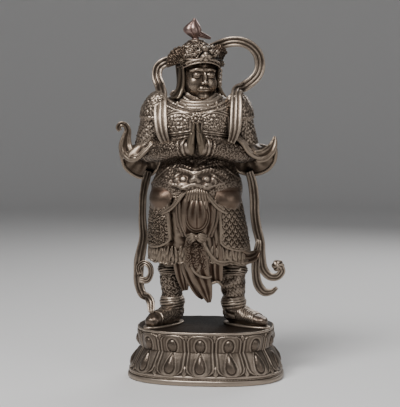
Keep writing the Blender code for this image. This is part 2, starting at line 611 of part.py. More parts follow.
def lotus_base(material):
    """The oval base: a stepped foot, petals turned down, a waist, petals turned up and the rim."""
    count = PETALS * 4
    turn = even_turns(BASE_WIDTH / 2, BASE_DEPTH / 2, count)
    share = np.arange(count) / 4
    top = BASE_HEIGHT - RIM_HEIGHT
    profile = [(0, 0.002, 0), (0.002, 0, 0), (FOOT_HEIGHT * 0.55, 0, 0), (FOOT_HEIGHT * 0.65, 0.0025, 0),
               (FOOT_HEIGHT, 0.0015, 0)]
    for t in (0.03, 0.3, 0.6, 0.85, 1.0):
        height = FOOT_HEIGHT + (WAIST_HEIGHT - FOOT_HEIGHT) * t
        profile.append((height, PETAL_SETBACK + (WAIST_INSET - PETAL_SETBACK) * t**1.25, 1 - t))
    for t in (0.1, 0.45, 0.8, 1.0):
        height = WAIST_HEIGHT + (top - WAIST_HEIGHT) * t
        profile.append((height, WAIST_INSET - (WAIST_INSET - RIM_INSET - 0.002) * t**0.7, t))
    profile += [(top + 0.0006, RIM_INSET + 0.0015, 0), (top + 0.0012, RIM_INSET, 0),
                (BASE_HEIGHT - 0.001, RIM_INSET, 0), (BASE_HEIGHT, RIM_INSET + 0.001, 0)]
    rings = []
    for height, inset, tip in profile:
        proud = petal_swell(share, tip) if tip else 0 * share
        reach_x = BASE_WIDTH / 2 - inset + proud
        reach_y = BASE_DEPTH / 2 - inset * RIM_INSET_DEPTH / RIM_INSET + proud
        x = reach_x * power(np.cos(turn), 2 / OUTLINE_POWER)
        y = reach_y * power(np.sin(turn), 2 / OUTLINE_POWER)
        rings.append(np.stack([x, y, height + 0 * x], axis=1))
    base = loft("lotus_base", (np.array(rings) - (0, 0, FLOOR)) / UNIT)
    base.data.materials.append(material)
    return base


def helmet_plume(material):
    """The flame-shaped plume, swept to its left, with the peg that seats it in the helmet."""
    high = PLUME_HEIGHT / UNIT
    foot = (FIGURE_HEIGHT + SEAT_GAP) / UNIT
    rows = ((0.0, 0.0, 5.2, 5.2), (-0.5, 0.07, 4.6, 4.6), (-2.0, 0.16, 6.5, 6), (-3.5, 0.32, 10.5, 8.5),
            (-4.2, 0.48, 11.5, 9), (-3.6, 0.64, 9.5, 7.5), (-2.4, 0.8, 5.6, 5), (-1.6, 0.9, 3.0, 3.0),
            (-1.6, 1.0, 1.6, 1.6))
    rings = []
    turn = 2 * np.pi * np.arange(12) / 12
    for lean, rise, wide, deep in rows:
        flute = 1 + 0.09 * np.cos(6 * turn) * math.sin(math.pi * rise)
        x = PLUME_AT[0] + lean + wide * np.cos(turn) * flute
        y = PLUME_AT[1] + deep * np.sin(turn) * flute
        rings.append(np.stack([x, y, foot + rise * high + 0 * turn], axis=1))
    plume = loft("helmet_plume", rings)
    ring = np.stack([np.cos(turn), np.sin(turn), 0 * turn], 1) * (PEG_RADIUS / UNIT) * (1, 1, 0)
    peg_foot = (FIGURE_HEIGHT - PEG_LENGTH) / UNIT
    peg = loft("plume_peg", np.array([ring + (*PLUME_AT, peg_foot), ring + (*PLUME_AT, foot + 0.1 * high)]))
    sweep_tail = ((-14, 4, foot + 0.34 * high, 6, 5), (-8, 4, foot + 0.24 * high, 4.2, 4),
                  (-1, 4, foot + 0.14 * high, 3.2, 3.2), (6, 4, foot + 0.04 * high, 1.6, 1.8))
    tail = loft("plume_tail", sweep(sweep_tail, 6, band_section()))
    for form in (peg, tail):
        as_helper(form)
        join = plume.modifiers.new(form.name, "BOOLEAN")
        join.operation = "UNION"
        join.object = form
    plume.data.materials.append(material)
    return plume


def main():
    for obj in list(bpy.data.objects):
        bpy.data.objects.remove(obj)
    dark = bronze("dark_bronze", (0.11, 0.078, 0.055), 0.42)
    reddish = bronze("reddish_bronze", (0.17, 0.105, 0.085), 0.45)
    made = (lotus_base(dark), deity_figure(dark), helmet_plume(reddish))
    for obj in made:
        obj.data.shade_smooth()
        obj.data.set_sharp_from_angle(angle=math.radians(40))


main()
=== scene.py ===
"""The looks of a cast bronze guardian figure on a lotus base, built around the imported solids."""

import math
from collections import namedtuple

import bpy
import numpy as np
from mathutils import Matrix, Vector
from mathutils.bvhtree import BVHTree


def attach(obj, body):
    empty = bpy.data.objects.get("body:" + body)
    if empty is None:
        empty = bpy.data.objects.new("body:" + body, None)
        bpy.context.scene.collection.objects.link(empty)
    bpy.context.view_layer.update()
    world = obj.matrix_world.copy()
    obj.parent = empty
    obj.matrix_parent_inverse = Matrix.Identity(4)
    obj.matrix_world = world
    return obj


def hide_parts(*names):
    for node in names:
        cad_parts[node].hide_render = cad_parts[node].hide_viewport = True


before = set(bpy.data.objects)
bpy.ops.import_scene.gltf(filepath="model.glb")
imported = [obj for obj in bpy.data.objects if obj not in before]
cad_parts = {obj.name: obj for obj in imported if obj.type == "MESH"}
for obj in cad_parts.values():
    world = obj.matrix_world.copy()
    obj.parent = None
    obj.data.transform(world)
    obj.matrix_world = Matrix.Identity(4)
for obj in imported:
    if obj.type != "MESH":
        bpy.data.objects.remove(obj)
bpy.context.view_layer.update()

# The tables are in millimetres, above the top of the lotus base
MM = 0.001
FLOOR = 0.0693  # the top of the lotus base, in metres
STEP = 1.05  # the usual space between the rings of a sweep
FRONT = -math.pi / 2  # the turn that faces the viewer
BODY_POWER = 2.45  # the trunk's outline in plan, where 2 is an ellipse
MIDDLE = -9.3  # x of the chest's middle line
SKIRT_AXIS = -11.0  # x of the skirt's middle
SKIRT_REACH = 58.0  # the usual distance from there to the skirt
HEAD_AT = (-10.0, 3.0, 333.0)
HEAD_SIZE = 1.12
HEAD_TURN = math.radians(24)
CROWN_TOP = 385.0
PLUME_FOOT = 385.3
PLUME_HIGH = 28.5

# Height, middle, half width, reach to the front and reach to the back
TRUNK = (
    (166, -12, 58, 42, 36), (178, -12, 61, 47, 37), (192, -12, 61, 50, 38), (206, -12, 55, 45, 36),
    (222, -12, 49, 38, 34), (244, -12, 49, 36, 34), (264, -12, 53, 36, 35), (284, -12, 56, 33, 34),
    (296, -12, 54, 28, 31), (304, -12, 45, 21, 27), (310, -12, 34, 16, 22), (315, -12, 21, 13, 17),
)
SKIRT = (
    (184, -12, 56, 44, 37), (172, -12, 57, 47, 40), (155, -11, 59, 49, 42), (136, -10, 61, 48, 43),
    (115, -9.5, 64, 46, 44), (98, -9, 67, 45, 45), (88, -8, 69, 44, 45),
)

# Every row below is x, y, z, half width and half depth
LEGS = {
    "right": ((-44, 4, 112, 18, 17), (-46.5, 1, 88, 16.5, 15.5), (-47, 0, 64, 16, 15.5),
              (-46.5, 1, 42, 14, 14), (-46, 3, 26, 13.5, 14.5), (-46, 4, 10, 12, 14)),
    "left": ((31, 4, 112, 18, 17), (34, 1, 86, 17.5, 15.5), (36, 0, 60, 17, 15.5),
             (38, 1, 40, 14.5, 14), (39, 3, 24, 13.5, 14.5), (38.5, 4, 10, 12, 14)),
}
FEET = {
    "right": ((-40, 15, 9, 8, 8), (-43, 9, 14, 12, 14), (-49, -3, 14, 13, 14),
              (-56, -15, 11, 13.5, 11.5),
              (-63, -27, 11, 13, 11), (-69, -37, 11, 11, 10.5), (-72, -42, 11.5, 6.5, 7),
              (-73, -44, 11.5, 2.5, 3)),
    "left": ((30, 15, 9, 8, 8), (35, 10, 14, 12, 14), (46, 1, 14, 12.5, 14), (57, -7, 11, 13, 11),
             (68, -15, 10.5, 12.5, 10.5), (77, -21, 11, 10.5, 10), (82, -25, 12, 6.5, 6.5),
             (84, -26.2, 12, 2.5, 2.6)),
}
ARMS = {
    "right": ((-54, 2, 307, 8, 12), (-62, 2, 300, 15, 18), (-68, 2, 287, 18.5, 20),
              (-71, 2, 270, 18.5, 19), (-76, 1, 250, 18.5, 18), (-80, 0, 232, 17, 16)),
    "left": ((31, 2, 307, 8, 12), (38, 2, 300, 15, 18), (43, 2, 287, 18, 20),
             (46, 2, 270, 17.5, 19), (51, 1, 250, 17.5, 18), (56, 0, 232, 16, 16)),
}
FOREARMS = {
    "right": ((-86, 6, 234, 12, 12), (-74, -10, 235, 14, 14), (-55, -27, 236, 14, 14),
              (-36, -42, 239, 12, 12), (-19, -52, 241, 9.5, 10), (-12, -54, 243, 7, 8)),
    "left": ((60, 6, 234, 12, 12), (50, -10, 235, 14, 14), (36, -26, 236, 14, 14),
             (21, -42, 239, 12, 12), (5, -52, 241, 9.5, 10), (-1, -54, 243, 7, 8)),
}
# The points round each sleeve's mouth
SLEEVES = {
    "right": ((-60, -12, 230), (-67, -24, 245), (-76, -28, 237), (-88, -29, 226), (-100, -25, 224),
              (-109, -18, 230), (-115, -8, 235), (-115, 2, 225), (-112, 10, 212), (-102, 14, 203),
              (-89, 14, 198.5), (-75, 10, 204), (-64, 0, 214)),
    "left": ((33, -14, 232), (37, -28, 255), (50, -30, 248), (61, -27, 233), (74, -22, 227),
             (86, -14, 232), (93, -5, 239), (94, 3, 232), (91, 8, 220), (81, 12, 209),
             (63, 14, 203.5), (45, 10, 207), (35, 0, 217)),
}
SLEEVE_CURL = (
    (-103, -14, 228, 9, 5), (-108, -10, 241, 9, 5), (-107.5, -8, 253, 6.5, 4.5),
    (-105.5, -7, 263, 4.5, 4), (-108.5, -7, 270, 4, 4), (-114.5, -8, 271.5, 4, 4),
    (-118, -8, 267, 3.6, 4), (-115.5, -8, 263, 3, 3.5),
)
SLEEVE_TIP = (
    (68, -20, 229, 8, 5), (79, -17, 231, 8.5, 5), (88, -12, 238, 7, 4.5), (92, -8, 247, 4.5, 3.5),
    (93, -5, 255, 1.5, 2),
)
CLOTHS = {
    "left_tail": ((-19, -36, 112, 9, 8), (-20, -38, 92, 9, 8), (-17, -40, 74, 8, 7),
                  (-10, -41, 58, 7, 5),
                  (-4, -40, 46, 5, 4), (0, -40, 40, 2, 2)),
    "long_tail": ((-8, -42, 126, 13, 8), (-9, -44, 108, 15, 8), (-7, -44, 90, 15, 8),
                  (-3, -44, 74, 13.5, 7.5), (2, -43, 60, 11, 6.5), (6, -42, 47, 7.5, 5),
                  (8.5, -41, 36, 2.5, 2.5)),
    "left_fold": ((-32, -33, 118, 9, 8), (-31, -33, 92, 9.5, 7), (-28, -29, 68, 8.5, 6),
                  (-25, -26, 50, 4, 4)),
    "right_fold": ((14, -38, 122, 9, 7), (16, -40, 98, 11, 6.5), (16, -38, 78, 11, 6),
                   (17, -36, 64, 9, 4)),
    "flying_hem": ((44, -26, 100, 10, 8), (56, -16, 94, 9, 6), (66, -6, 95, 7, 5),
                   (73, 0, 101, 1.8, 1.8)),
}
SCARF = {
    "over_shoulders": (
        (-49, -35, 246, 5.5, 3.5), (-55, -34, 262, 8, 3.6), (-58, -27, 282, 9, 3.6),
        (-59, -16, 300, 8.5, 3.6), (-60, -2, 314, 7.5, 3.6), (-64, 11, 324, 7, 3.6),
        (-69, 18, 336, 7, 3.6), (-67.5, 21, 348, 7, 3.6),
        (-59, 22, 355, 7, 3.6), (-45, 27, 359, 7, 3.6), (-28, 34, 364, 7, 3.6),
        (-11, 37, 369, 7, 3.6),
        (8, 33, 376, 7, 3.6), (26, 26, 382, 7, 3.6), (42, 24, 383, 7, 3.6), (57, 24, 378, 7, 3.6),
        (68, 24, 367, 7, 3.6), (71.5, 24, 353, 7, 3.6), (69, 22, 340, 7, 3.6),
        (61, 20, 330, 7, 3.6),
        (50, 15, 322, 7, 3.6), (43, 4, 318, 7, 3.6), (42, -9, 312, 7, 3.6),
        (43, -19, 301, 7.5, 3.6),
        (43, -27, 284, 8, 3.6), (42, -33, 264, 7.5, 3.6), (37, -35, 247, 5, 3.5)),
    "right_end": (
        (-79, 6, 208, 5, 3.5), (-84, 5, 190, 5.5, 3.2), (-87, 4, 168, 5, 3.2),
        (-87.5, 4, 142, 5, 3.2),
        (-86, 3, 118, 6, 3.2), (-89.5, 2, 98, 7, 3.2), (-92, 0, 78, 7, 3.2),
        (-92, -1, 56, 6.5, 3.2),
        (-87, -5, 41, 6, 3.2), (-78, -12, 37, 5.5, 3), (-73, -20, 31, 5.5, 3),
        (-71, -27, 21, 4.6, 2.8),
        (-70.5, -29, 17, 1.8, 1.4)),
    "right_end_loop": (
        (-91, -2, 60, 4, 3), (-80, -5, 60, 4.5, 3), (-74.5, -7, 69, 4, 3), (-76, -8, 79, 4, 3),
        (-84, -7, 83.5, 4, 3), (-91, -6, 78, 4, 3), (-90, -5, 68, 3.5, 3)),
    "left_end": (
        (58, 6, 208, 5, 3.5), (63, 5, 192, 6, 3.2), (65.5, 5, 172, 6.5, 3.2),
        (66, 6, 150, 6.5, 3.2),
        (69, 6, 130, 6.5, 3.2), (73.5, 4, 112, 6.5, 3.2), (74.5, 2, 94, 6.5, 3.2),
        (78, 0, 77, 6, 3.2),
        (87, -3, 67, 5.5, 3.2), (97, -5, 67, 5, 3.2), (103, -6, 74, 5, 3.2), (101, -6, 81, 5, 3.5)),
    "left_end_tail": (
        (72, 5, 118, 2, 1.5), (71, 3, 110, 4, 2.8), (68.5, 1, 92, 5.5, 3), (68, 0, 72, 6, 3),
        (71, -1, 56, 6, 3), (79, -3, 46, 5.5, 3), (89, -4, 46, 4, 2.6), (97, -4, 52, 2.5, 2)),
}

FINE = 40  # steps in each span of a curve, before it is spaced evenly
OFF_AXIS = (0.13, 0.21, 0.97)  # a direction that no tube follows
PLATE_SINK = 3.0  # how far a plate's back lies under the skirt

Form = namedtuple("Form", "points quads tris ruddy")


# Curves and sections

def spline(rows, count):
    """A smooth curve through the rows of a table, as count rows spaced evenly by length."""
    rows = np.asarray(rows, float)
    knots = np.vstack([2 * rows[0] - rows[1], rows, 2 * rows[-1] - rows[-2]])
    at = np.linspace(0, len(rows) - 1, len(rows) * FINE)
    low = np.minimum(at.astype(int), len(rows) - 2)
    t = (at - low)[:, None]
    a, b, c, d = (knots[low + i] for i in range(4))
    dense = b + 0.5 * t * (c - a + t * (2 * a - 5 * b + 4 * c - d + t * (3 * (b - c) + d - a)))
    steps = np.linalg.norm(np.diff(dense[:, :3], axis=0), axis=1)
    length = np.concatenate([[0], np.cumsum(steps)])
    wanted = np.linspace(0, length[-1], count)
    return np.stack([np.interp(wanted, length, column) for column in dense.T], axis=1)


def power(value, exponent):
    return np.sign(value) * np.abs(value) ** exponent


def unit(vectors):
    return vectors / np.maximum(np.linalg.norm(vectors, axis=-1, keepdims=True), 1e-12)


def turns(count):
    return 2 * np.pi * np.arange(count) / count


def round_section(count, exponent=2.0):
    turn = turns(count)
    return np.stack([power(np.cos(turn), 2 / exponent), power(np.sin(turn), 2 / exponent)], axis=1)


def band_section(folds=1, depth=0.26, count=40, rim=0.3):
    """The outline of a strip of cloth: rolled rims, soft folds between them and a plain back."""
    s = np.linspace(-1, 1, count)
    wave = 0.5 - 0.5 * np.cos((folds + 1) * np.pi * (s + 1))
    half = 1 - depth - rim + depth * wave * (1 - s**6) + rim * ridge(np.abs(s) - 0.85, 0.13)
    half = half + (rim - 0.12) * ridge(s, 0.5)
    back = np.linspace(0.97, -0.97, 12)
    return np.concatenate([np.stack([s, -half], 1), np.stack([back, 0.72 - 0.2 * back**2], 1)])


def sweep(rows, section, facing=(0, 1, 0), step=STEP):
    """Rings along a curve. A row is x, y, z, half width and half depth; the depth lies along facing."""
    rows = np.asarray(rows, float)
    length = np.linalg.norm(np.diff(rows[:, :3], axis=0), axis=1).sum()
    path = spline(rows, int(length / step) + 3)
    centre, wide, deep = path[:, :3], path[:, 3], path[:, 4]
    along = unit(np.gradient(centre, axis=0))
    side = unit(np.cross(along, facing))
    out = np.cross(side, along)
    across = side[:, None] * (section[None, :, :1] * wide[:, None, None])
    return centre[:, None] + across + out[:, None] * (section[None, :, 1:] * deep[:, None, None])


def body_point(table, height, turn):
    """The point of the trunk or skirt at a height and a turn about its middle."""
    table = np.asarray(sorted(table), float)
    fine = spline(table, len(table) * 24)
    middle, half, front, back = (np.interp(height, fine[:, 0], fine[:, i]) for i in range(1, 5))
    x = middle + half * power(np.cos(turn), 2 / BODY_POWER)
    reach = np.where(np.sin(turn) < 0, front, back)
    return np.stack([x, reach * power(np.sin(turn), 2 / BODY_POWER), x * 0 + height], axis=-1)


def front_of(table, x, height):
    turn = np.linspace(-np.pi, 0, 361)
    line = body_point(table, np.full(turn.shape, float(height)), turn)
    return float(np.interp(x, line[:, 0], line[:, 1]))


# Relief, as heights in millimetres over places on a surface

def ridge(distance, width):
    return np.exp(-((distance / width) ** 2))


def over(value, soft):
    """A step from 0 to 1 as value passes 0."""
    return 1 / (1 + np.exp(-np.clip(value / soft, -30, 30)))


def wobble(points, size, seed=0):
    """The uneven hand of wax work, from -1 to 1."""
    rng = np.random.default_rng(seed)
    total = 0
    for _ in range(7):
        way = unit(rng.normal(size=3)) * rng.uniform(0.6, 1.6) * 2 * np.pi / size
        total = total + np.sin(points @ way + rng.uniform(0, 2 * np.pi))
    return total / 4


CURL_RANDOM = np.random.default_rng(7).uniform(size=(997, 4))


def scrolls(a, b, pitch, seed=1, tight=0.5):
    """Leafy scrolls that curl about scattered centres, from -1 to 1."""
    a, b = np.broadcast_arrays(a, b)
    sway = 0.13 * pitch
    a, b = a + sway * np.sin(b * 5.1 / pitch + seed), b + sway * np.sin(a * 4.3 / pitch)
    near = next_near = np.full(a.shape, 1e9)
    x_at, y_at, cell_at = a * 0, a * 0, np.zeros(a.shape, int)
    for up in (-1, 0, 1):
        row = np.round(b / (0.87 * pitch)).astype(int) + up
        for along in (-1, 0, 1):
            column = np.round(a / pitch - 0.5 * (row % 2)).astype(int) + along
            cell = (31 * column + 57 * row + 13 * seed) % len(CURL_RANDOM)
            shift = 0.44 * CURL_RANDOM[cell, :2] - 0.22
            x = a - (column + 0.5 * (row % 2) + shift[..., 0]) * pitch
            y = b - (0.87 * row + shift[..., 1]) * pitch
            reach = np.hypot(x, y)
            closer = reach < near
            next_near = np.where(closer, near, np.minimum(next_near, reach))
            near = np.where(closer, reach, near)
            x_at, y_at = np.where(closer, x, x_at), np.where(closer, y, y_at)
            cell_at = np.where(closer, cell, cell_at)
    hand = np.where(CURL_RANDOM[cell_at, 2] < 0.5, -1, 1)
    phase = 2 * np.pi * CURL_RANDOM[cell_at, 3]
    turn = np.arctan2(y_at, x_at)
    curl = 0.75 * np.cos(2 * np.pi * near / (tight * pitch) - hand * turn + phase)
    curl += 0.4 * np.cos(5 * turn + phase) * ridge(near - 0.42 * pitch, 0.16 * pitch)
    curl += 0.5 * ridge(near, 0.13 * pitch)
    inside = np.clip((next_near - near) / 0.9, 0, 1)
    return curl * inside - 0.45 * (1 - inside)


def scales(a, b, wide, high):
    """Rows of rounded scales, each row lapping over the next one down. b grows downwards."""
    total = np.zeros(np.shape(a))
    done = np.zeros(np.shape(a), bool)
    for lift in (1, 0):
        row = np.floor(b / high) - lift
        x = (a / wide + 0.5 * (row % 2)) % 1 - 0.5
        y = b / high - row
        edge = 1 - (2.02 * x) ** 2 - np.clip((y - 0.7) / 1.25, 0, 3) ** 2
        height = 0.2 + 0.55 * y / 1.95 + 0.3 * ridge(edge - 0.14, 0.16) + 0.1 * ridge(x, 0.08)
        inside = (edge > 0) & ~done
        total = np.where(inside, height * np.clip(edge * 7, 0, 1), total)
        done |= inside
    return total


def knots(a, b, size):
    """A rough net of knotted cord."""
    u, v = (a + b) / size, (a - b) / size
    weave = np.where((np.floor(u) + np.floor(v)) % 2 == 0, np.sin(np.pi * u), np.sin(np.pi * v))
    return np.abs(weave) ** 0.7


def lobes(count, depth, twist=0.0, cap=2.0):
    """The relief of a ball cut into lobes about its y axis, as far as its caps."""
    def relief(p):
        angle = count * np.arctan2(p[..., 2], p[..., 0]) + twist * p[..., 1]
        return depth * np.cos(angle) * (np.abs(p[..., 1]) < cap)
    return relief


def skin_lengths(rings):
    """Distances round and along a grid of points."""
    across = np.linalg.norm(np.diff(rings, axis=1, prepend=rings[:, :1]), axis=2).cumsum(1)
    along = np.linalg.norm(np.diff(rings, axis=0, prepend=rings[:1]), axis=2).cumsum(0)
    return across, along


def emboss(rings, height):
    """Moves a grid of points, closed round each ring, out along its own normals."""
    along = np.gradient(rings, axis=0)
    around = np.roll(rings, -1, 1) - np.roll(rings, 1, 1)
    normal = unit(np.cross(around, along))
    if (normal * (rings - rings.mean(1, keepdims=True))).sum() < 0:
        normal = -normal
    return rings + normal * np.broadcast_to(height, rings.shape[:2])[..., None]


# Closed forms

def loft(rings, ruddy=0.0, hollow=0.0, joined=False):
    """A closed form over rings of points. Its ends are fans, or meet each other where it is joined."""
    rings = np.asarray(rings, float)
    count, around = rings.shape[:2]
    i = np.arange(count if joined else count - 1)[:, None]
    j = np.arange(around)[None, :]
    k = (j + 1) % around
    n = (i + 1) % count
    quads = np.stack([i * around + j, i * around + k, n * around + k, n * around + j], -1)
    quads = quads.reshape(-1, 4)
    points, tris = rings.reshape(-1, 3), np.zeros((0, 3), int)
    if not joined:
        first, last = rings[0].mean(0), rings[-1].mean(0)
        last = last + hollow * (first - last)
        start, end, top = count * around, count * around + 1, (count - 1) * around
        j, k = j[0], k[0]
        first_fan = np.stack([j * 0 + start, k, j], 1)
        last_fan = np.stack([j * 0 + end, top + j, top + k], 1)
        tris = np.concatenate([first_fan, last_fan])
        points = np.vstack([points, first, last])
    a, b, c, d = (points[quads[:, m]] for m in range(4))
    volume = (np.cross(b - a, c - a) * a).sum() + (np.cross(c - a, d - a) * a).sum()
    a, b, c = (points[tris[:, m]] for m in range(3))
    volume += (np.cross(b, c) * a).sum()
    if volume < 0:
        quads, tris = quads[:, ::-1], tris[:, ::-1]
    return Form(points, quads, tris, ruddy)


def slab(outer, inner, ruddy=0.0):
    """A closed form between two grids of points."""
    return loft(np.concatenate([outer, inner[:, ::-1]], axis=1), ruddy)


def strip(rows, section, seed=0, ruddy=0.0, uneven=0.25, step=STEP):
    """A closed band or cord along a curve, a little uneven."""
    rings = sweep(rows, section, step=step)
    return loft(emboss(rings, uneven * wobble(rings, 34, seed)), ruddy)


def tube(path, radius, count=12, closed=False):
    """A round cord along points, open or closed on itself."""
    path = np.asarray(path, float)
    if closed:
        along = np.roll(path, -1, 0) - np.roll(path, 1, 0)
    else:
        along = np.gradient(path, axis=0)
    along = unit(along)
    side = unit(np.cross(along, OFF_AXIS))
    up = np.cross(side, along)
    turn = turns(count)[None, :, None]
    offset = radius * (side[:, None] * np.cos(turn) + up[:, None] * np.sin(turn))
    return loft(path[:, None] + offset, joined=closed)


def directions(rise, turn):
    """Unit vectors by height angle and turn."""
    level = np.cos(rise)
    return np.stack([level * np.cos(turn), level * np.sin(turn), np.sin(rise) + 0 * turn], -1)


def rises(stations):
    """Even height angles between the poles of a ball, as a column."""
    return np.linspace(-np.pi / 2, np.pi / 2, stations + 2)[1:-1, None]


def ball(centre, radii, ruddy=0.0, around=40, stations=24, relief=None):
    ring = directions(rises(stations), turns(around)[None, :])
    if relief is not None:
        ring = ring * (1 + relief(ring))[..., None]
    return loft(ring * np.asarray(radii) + centre, ruddy)


def armour(turn, half_turn, top, bottom, drop, thick, swell=0.0, pattern=None, ruddy=0.0, border=3.2,
           rim=1.1, scallop=0.0, step=1.0):
    """A plate on the skirt, with a raised border. Drop rounds its lower corners up."""
    columns, rows = int(2 * half_turn * SKIRT_REACH / step), int((top - bottom) / step)
    s = np.linspace(-1, 1, columns)[None, :]
    t = np.linspace(0, 1, rows)[:, None]
    low = bottom + drop * (1 - np.sqrt(1 - 0.96 * s**2)) + scallop * np.abs(np.sin(2.5 * np.pi * s))
    height = top + t * (low - top)
    skin = body_point(SKIRT, height, turn + s * half_turn * (0.86 + 0.14 * t))
    outward = unit((skin - (SKIRT_AXIS, 0, 0)) * (1, 1, 0))
    across, along = skin_lengths(skin)
    edge = np.minimum(np.minimum(across, across[:, -1:] - across), along[-1:] - along)
    proud = thick + swell * (1 - s**2) * np.sin(np.pi * t)
    groove = 0.45 * ridge(edge - border / 2, border * 0.16)
    proud = proud + rim * over(border - edge, 0.25) * (1 - groove)
    if pattern is not None:
        proud = proud + pattern(across, along) * over(edge - border - 0.4, 0.2)
    proud = proud + 0.18 * wobble(skin, 15, int(turn * 50) % 97)
    proud = np.where(edge < 0.8, proud - 0.9 * (1 - edge / 0.8), proud)
    return slab(skin + outward * proud[..., None], skin - outward * PLATE_SINK, ruddy)


# Pieces

def mesh_of(name, forms):
    """One mesh from closed forms, in metres and in the row's frame."""
    base, points, quads, tris, ruddy = 0, [], [], [], []
    for form in forms:
        points.append(form.points)
        quads.append(form.quads + base)
        tris.append(form.tris + base)
        ruddy.append(np.broadcast_to(form.ruddy, len(form.points)))
        base += len(form.points)
    points = np.vstack(points) * MM + (0, 0, FLOOR)
    quads, tris = np.vstack(quads), np.vstack(tris)
    mesh = bpy.data.meshes.new(name)
    mesh.vertices.add(len(points))
    mesh.vertices.foreach_set("co", points.astype(np.float32).ravel())
    mesh.loops.add(quads.size + tris.size)
    corners = np.concatenate([quads.ravel(), tris.ravel()])
    mesh.loops.foreach_set("vertex_index", corners.astype(np.int32))
    mesh.polygons.add(len(quads) + len(tris))
    starts = np.concatenate([np.arange(len(quads)) * 4, quads.size + np.arange(len(tris)) * 3])
    mesh.polygons.foreach_set("loop_start", starts.astype(np.int32))
    mesh.update(calc_edges=True)
    mesh.validate()
    mesh.shade_smooth()
    tint = mesh.attributes.new("ruddy", "FLOAT", "POINT")
    tint.data.foreach_set("value", np.concatenate(ruddy).astype(np.float32))
    return mesh


def solid_tree():
    """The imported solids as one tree, against which the openness of every place is measured."""
    corners, faces, base = [], [], 0
    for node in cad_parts.values():
        mesh = node.data
        corners += [v.co.copy() for v in mesh.vertices]
        mesh.calc_loop_triangles()
        faces += [[base + i for i in t.vertices] for t in mesh.loop_triangles]
        base += len(mesh.vertices)
    return BVHTree.FromPolygons(corners, faces)


SOLIDS = solid_tree()
AROUND = unit(np.random.default_rng(4).normal(size=(26, 3)))


def openness(points, normals, cell=0.0028, clear=0.0045, reach=0.055):
    """How open each place is, from 0 deep in a hollow to 1, by rays against the solids; the bronze
    paints it as ambient shade.

    Places that share a cell and a facing share their rays, which start clear of the surface.
    """
    key = np.concatenate([np.round(points / cell), np.round(normals * 1.3)], axis=1).astype(np.int64)
    _, index = np.unique(key, axis=0, return_inverse=True)
    index = index.reshape(-1)
    count = np.maximum(np.bincount(index), 1)[:, None]
    place = np.stack([np.bincount(index, points[:, i]) for i in range(3)], 1) / count
    facing = unit(np.stack([np.bincount(index, normals[:, i]) for i in range(3)], 1))
    start = place + facing * clear
    found = np.zeros(len(place))
    weights = np.clip(facing @ AROUND.T, 0, 1)
    rays = [Vector(ray) for ray in AROUND]
    for n in range(len(place)):
        origin = Vector(start[n])
        total = free = 0.0
        for m in np.flatnonzero(weights[n] > 0.15):
            weight = weights[n, m]
            hit = SOLIDS.ray_cast(origin, rays[m], reach)
            total += weight
            free += weight * (1 if hit[0] is None else 0.6 * hit[3] / reach)
        found[n] = free / max(total, 1e-6)
    return found[index]


def neighbours_mean(values, ends, count):
    a, b = ends[:, 0], ends[:, 1]
    size = len(count)
    if values.ndim == 1:
        total = np.bincount(a, values[b], size) + np.bincount(b, values[a], size)
        return total / count
    return np.stack([neighbours_mean(values[:, i], ends, count) for i in range(values.shape[1])], 1)


FINE_RISE, BROAD_RISE = 0.00016, 0.0012  # heights over the smoothed form that get the full rubbed wear and painted highlight, in metres


def mark_wear_and_shade(piece):
    """Stores, as attributes its bronze reads, how far each place stands proud, drawn as rubbed wear and
    painted highlight, and how open it is, drawn as painted ambient shade.
    """
    mesh = piece.data
    size = len(mesh.vertices)
    points = np.empty(size * 3, np.float32)
    normals = np.empty(size * 3, np.float32)
    ends = np.empty(len(mesh.edges) * 2, np.int32)
    mesh.vertices.foreach_get("co", points)
    mesh.vertices.foreach_get("normal", normals)
    mesh.edges.foreach_get("vertices", ends)
    points, normals = points.reshape(-1, 3).astype(float), normals.reshape(-1, 3)
    ends = ends.reshape(-1, 2)
    count = np.maximum(np.bincount(ends.ravel(), minlength=size), 1)
    smooth, fine = points, None
    for turn in range(22):
        smooth = 0.3 * smooth + 0.7 * neighbours_mean(smooth, ends, count)
        if turn == 3:
            fine = ((points - smooth) * normals).sum(1)
    broad = ((points - smooth) * normals).sum(1)
    # Height over the smoothed form, fine and broad: the bronze draws raised places paler, as rubbed
    # wear and a painted highlight, and sunken places darker.
    wear_and_highlight = np.clip(fine / FINE_RISE, -1, 1) * 0.75 + np.clip(broad / BROAD_RISE, -1, 1) * 0.4
    # Openness to the sky: the bronze paints closed places darker as ambient shade and open places paler
    # as a highlight.
    sky = openness(points, normals)
    for _ in range(6):
        sky = 0.3 * sky + 0.7 * neighbours_mean(sky, ends, count)
    for name, values in (("wear_and_highlight", wear_and_highlight), ("sky", sky)):
        found = mesh.attributes.new(name, "FLOAT", "POINT")
        found.data.foreach_set("value", np.clip(values, -1, 1).astype(np.float32))


def cast(name, forms, bronze, node="deity_figure"):
    """A finished piece of the object, in place of the solid it stands for."""
    piece = bpy.data.objects.new(name, mesh_of(name, list(forms)))
    bpy.context.scene.collection.objects.link(piece)
    finish_piece(piece, bronze, node)


def finish_piece(piece, bronze, node):
    mark_wear_and_shade(piece)
    if not piece.data.materials:
        piece.data.materials.append(bronze)
    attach(piece, "root")
    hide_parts(node)


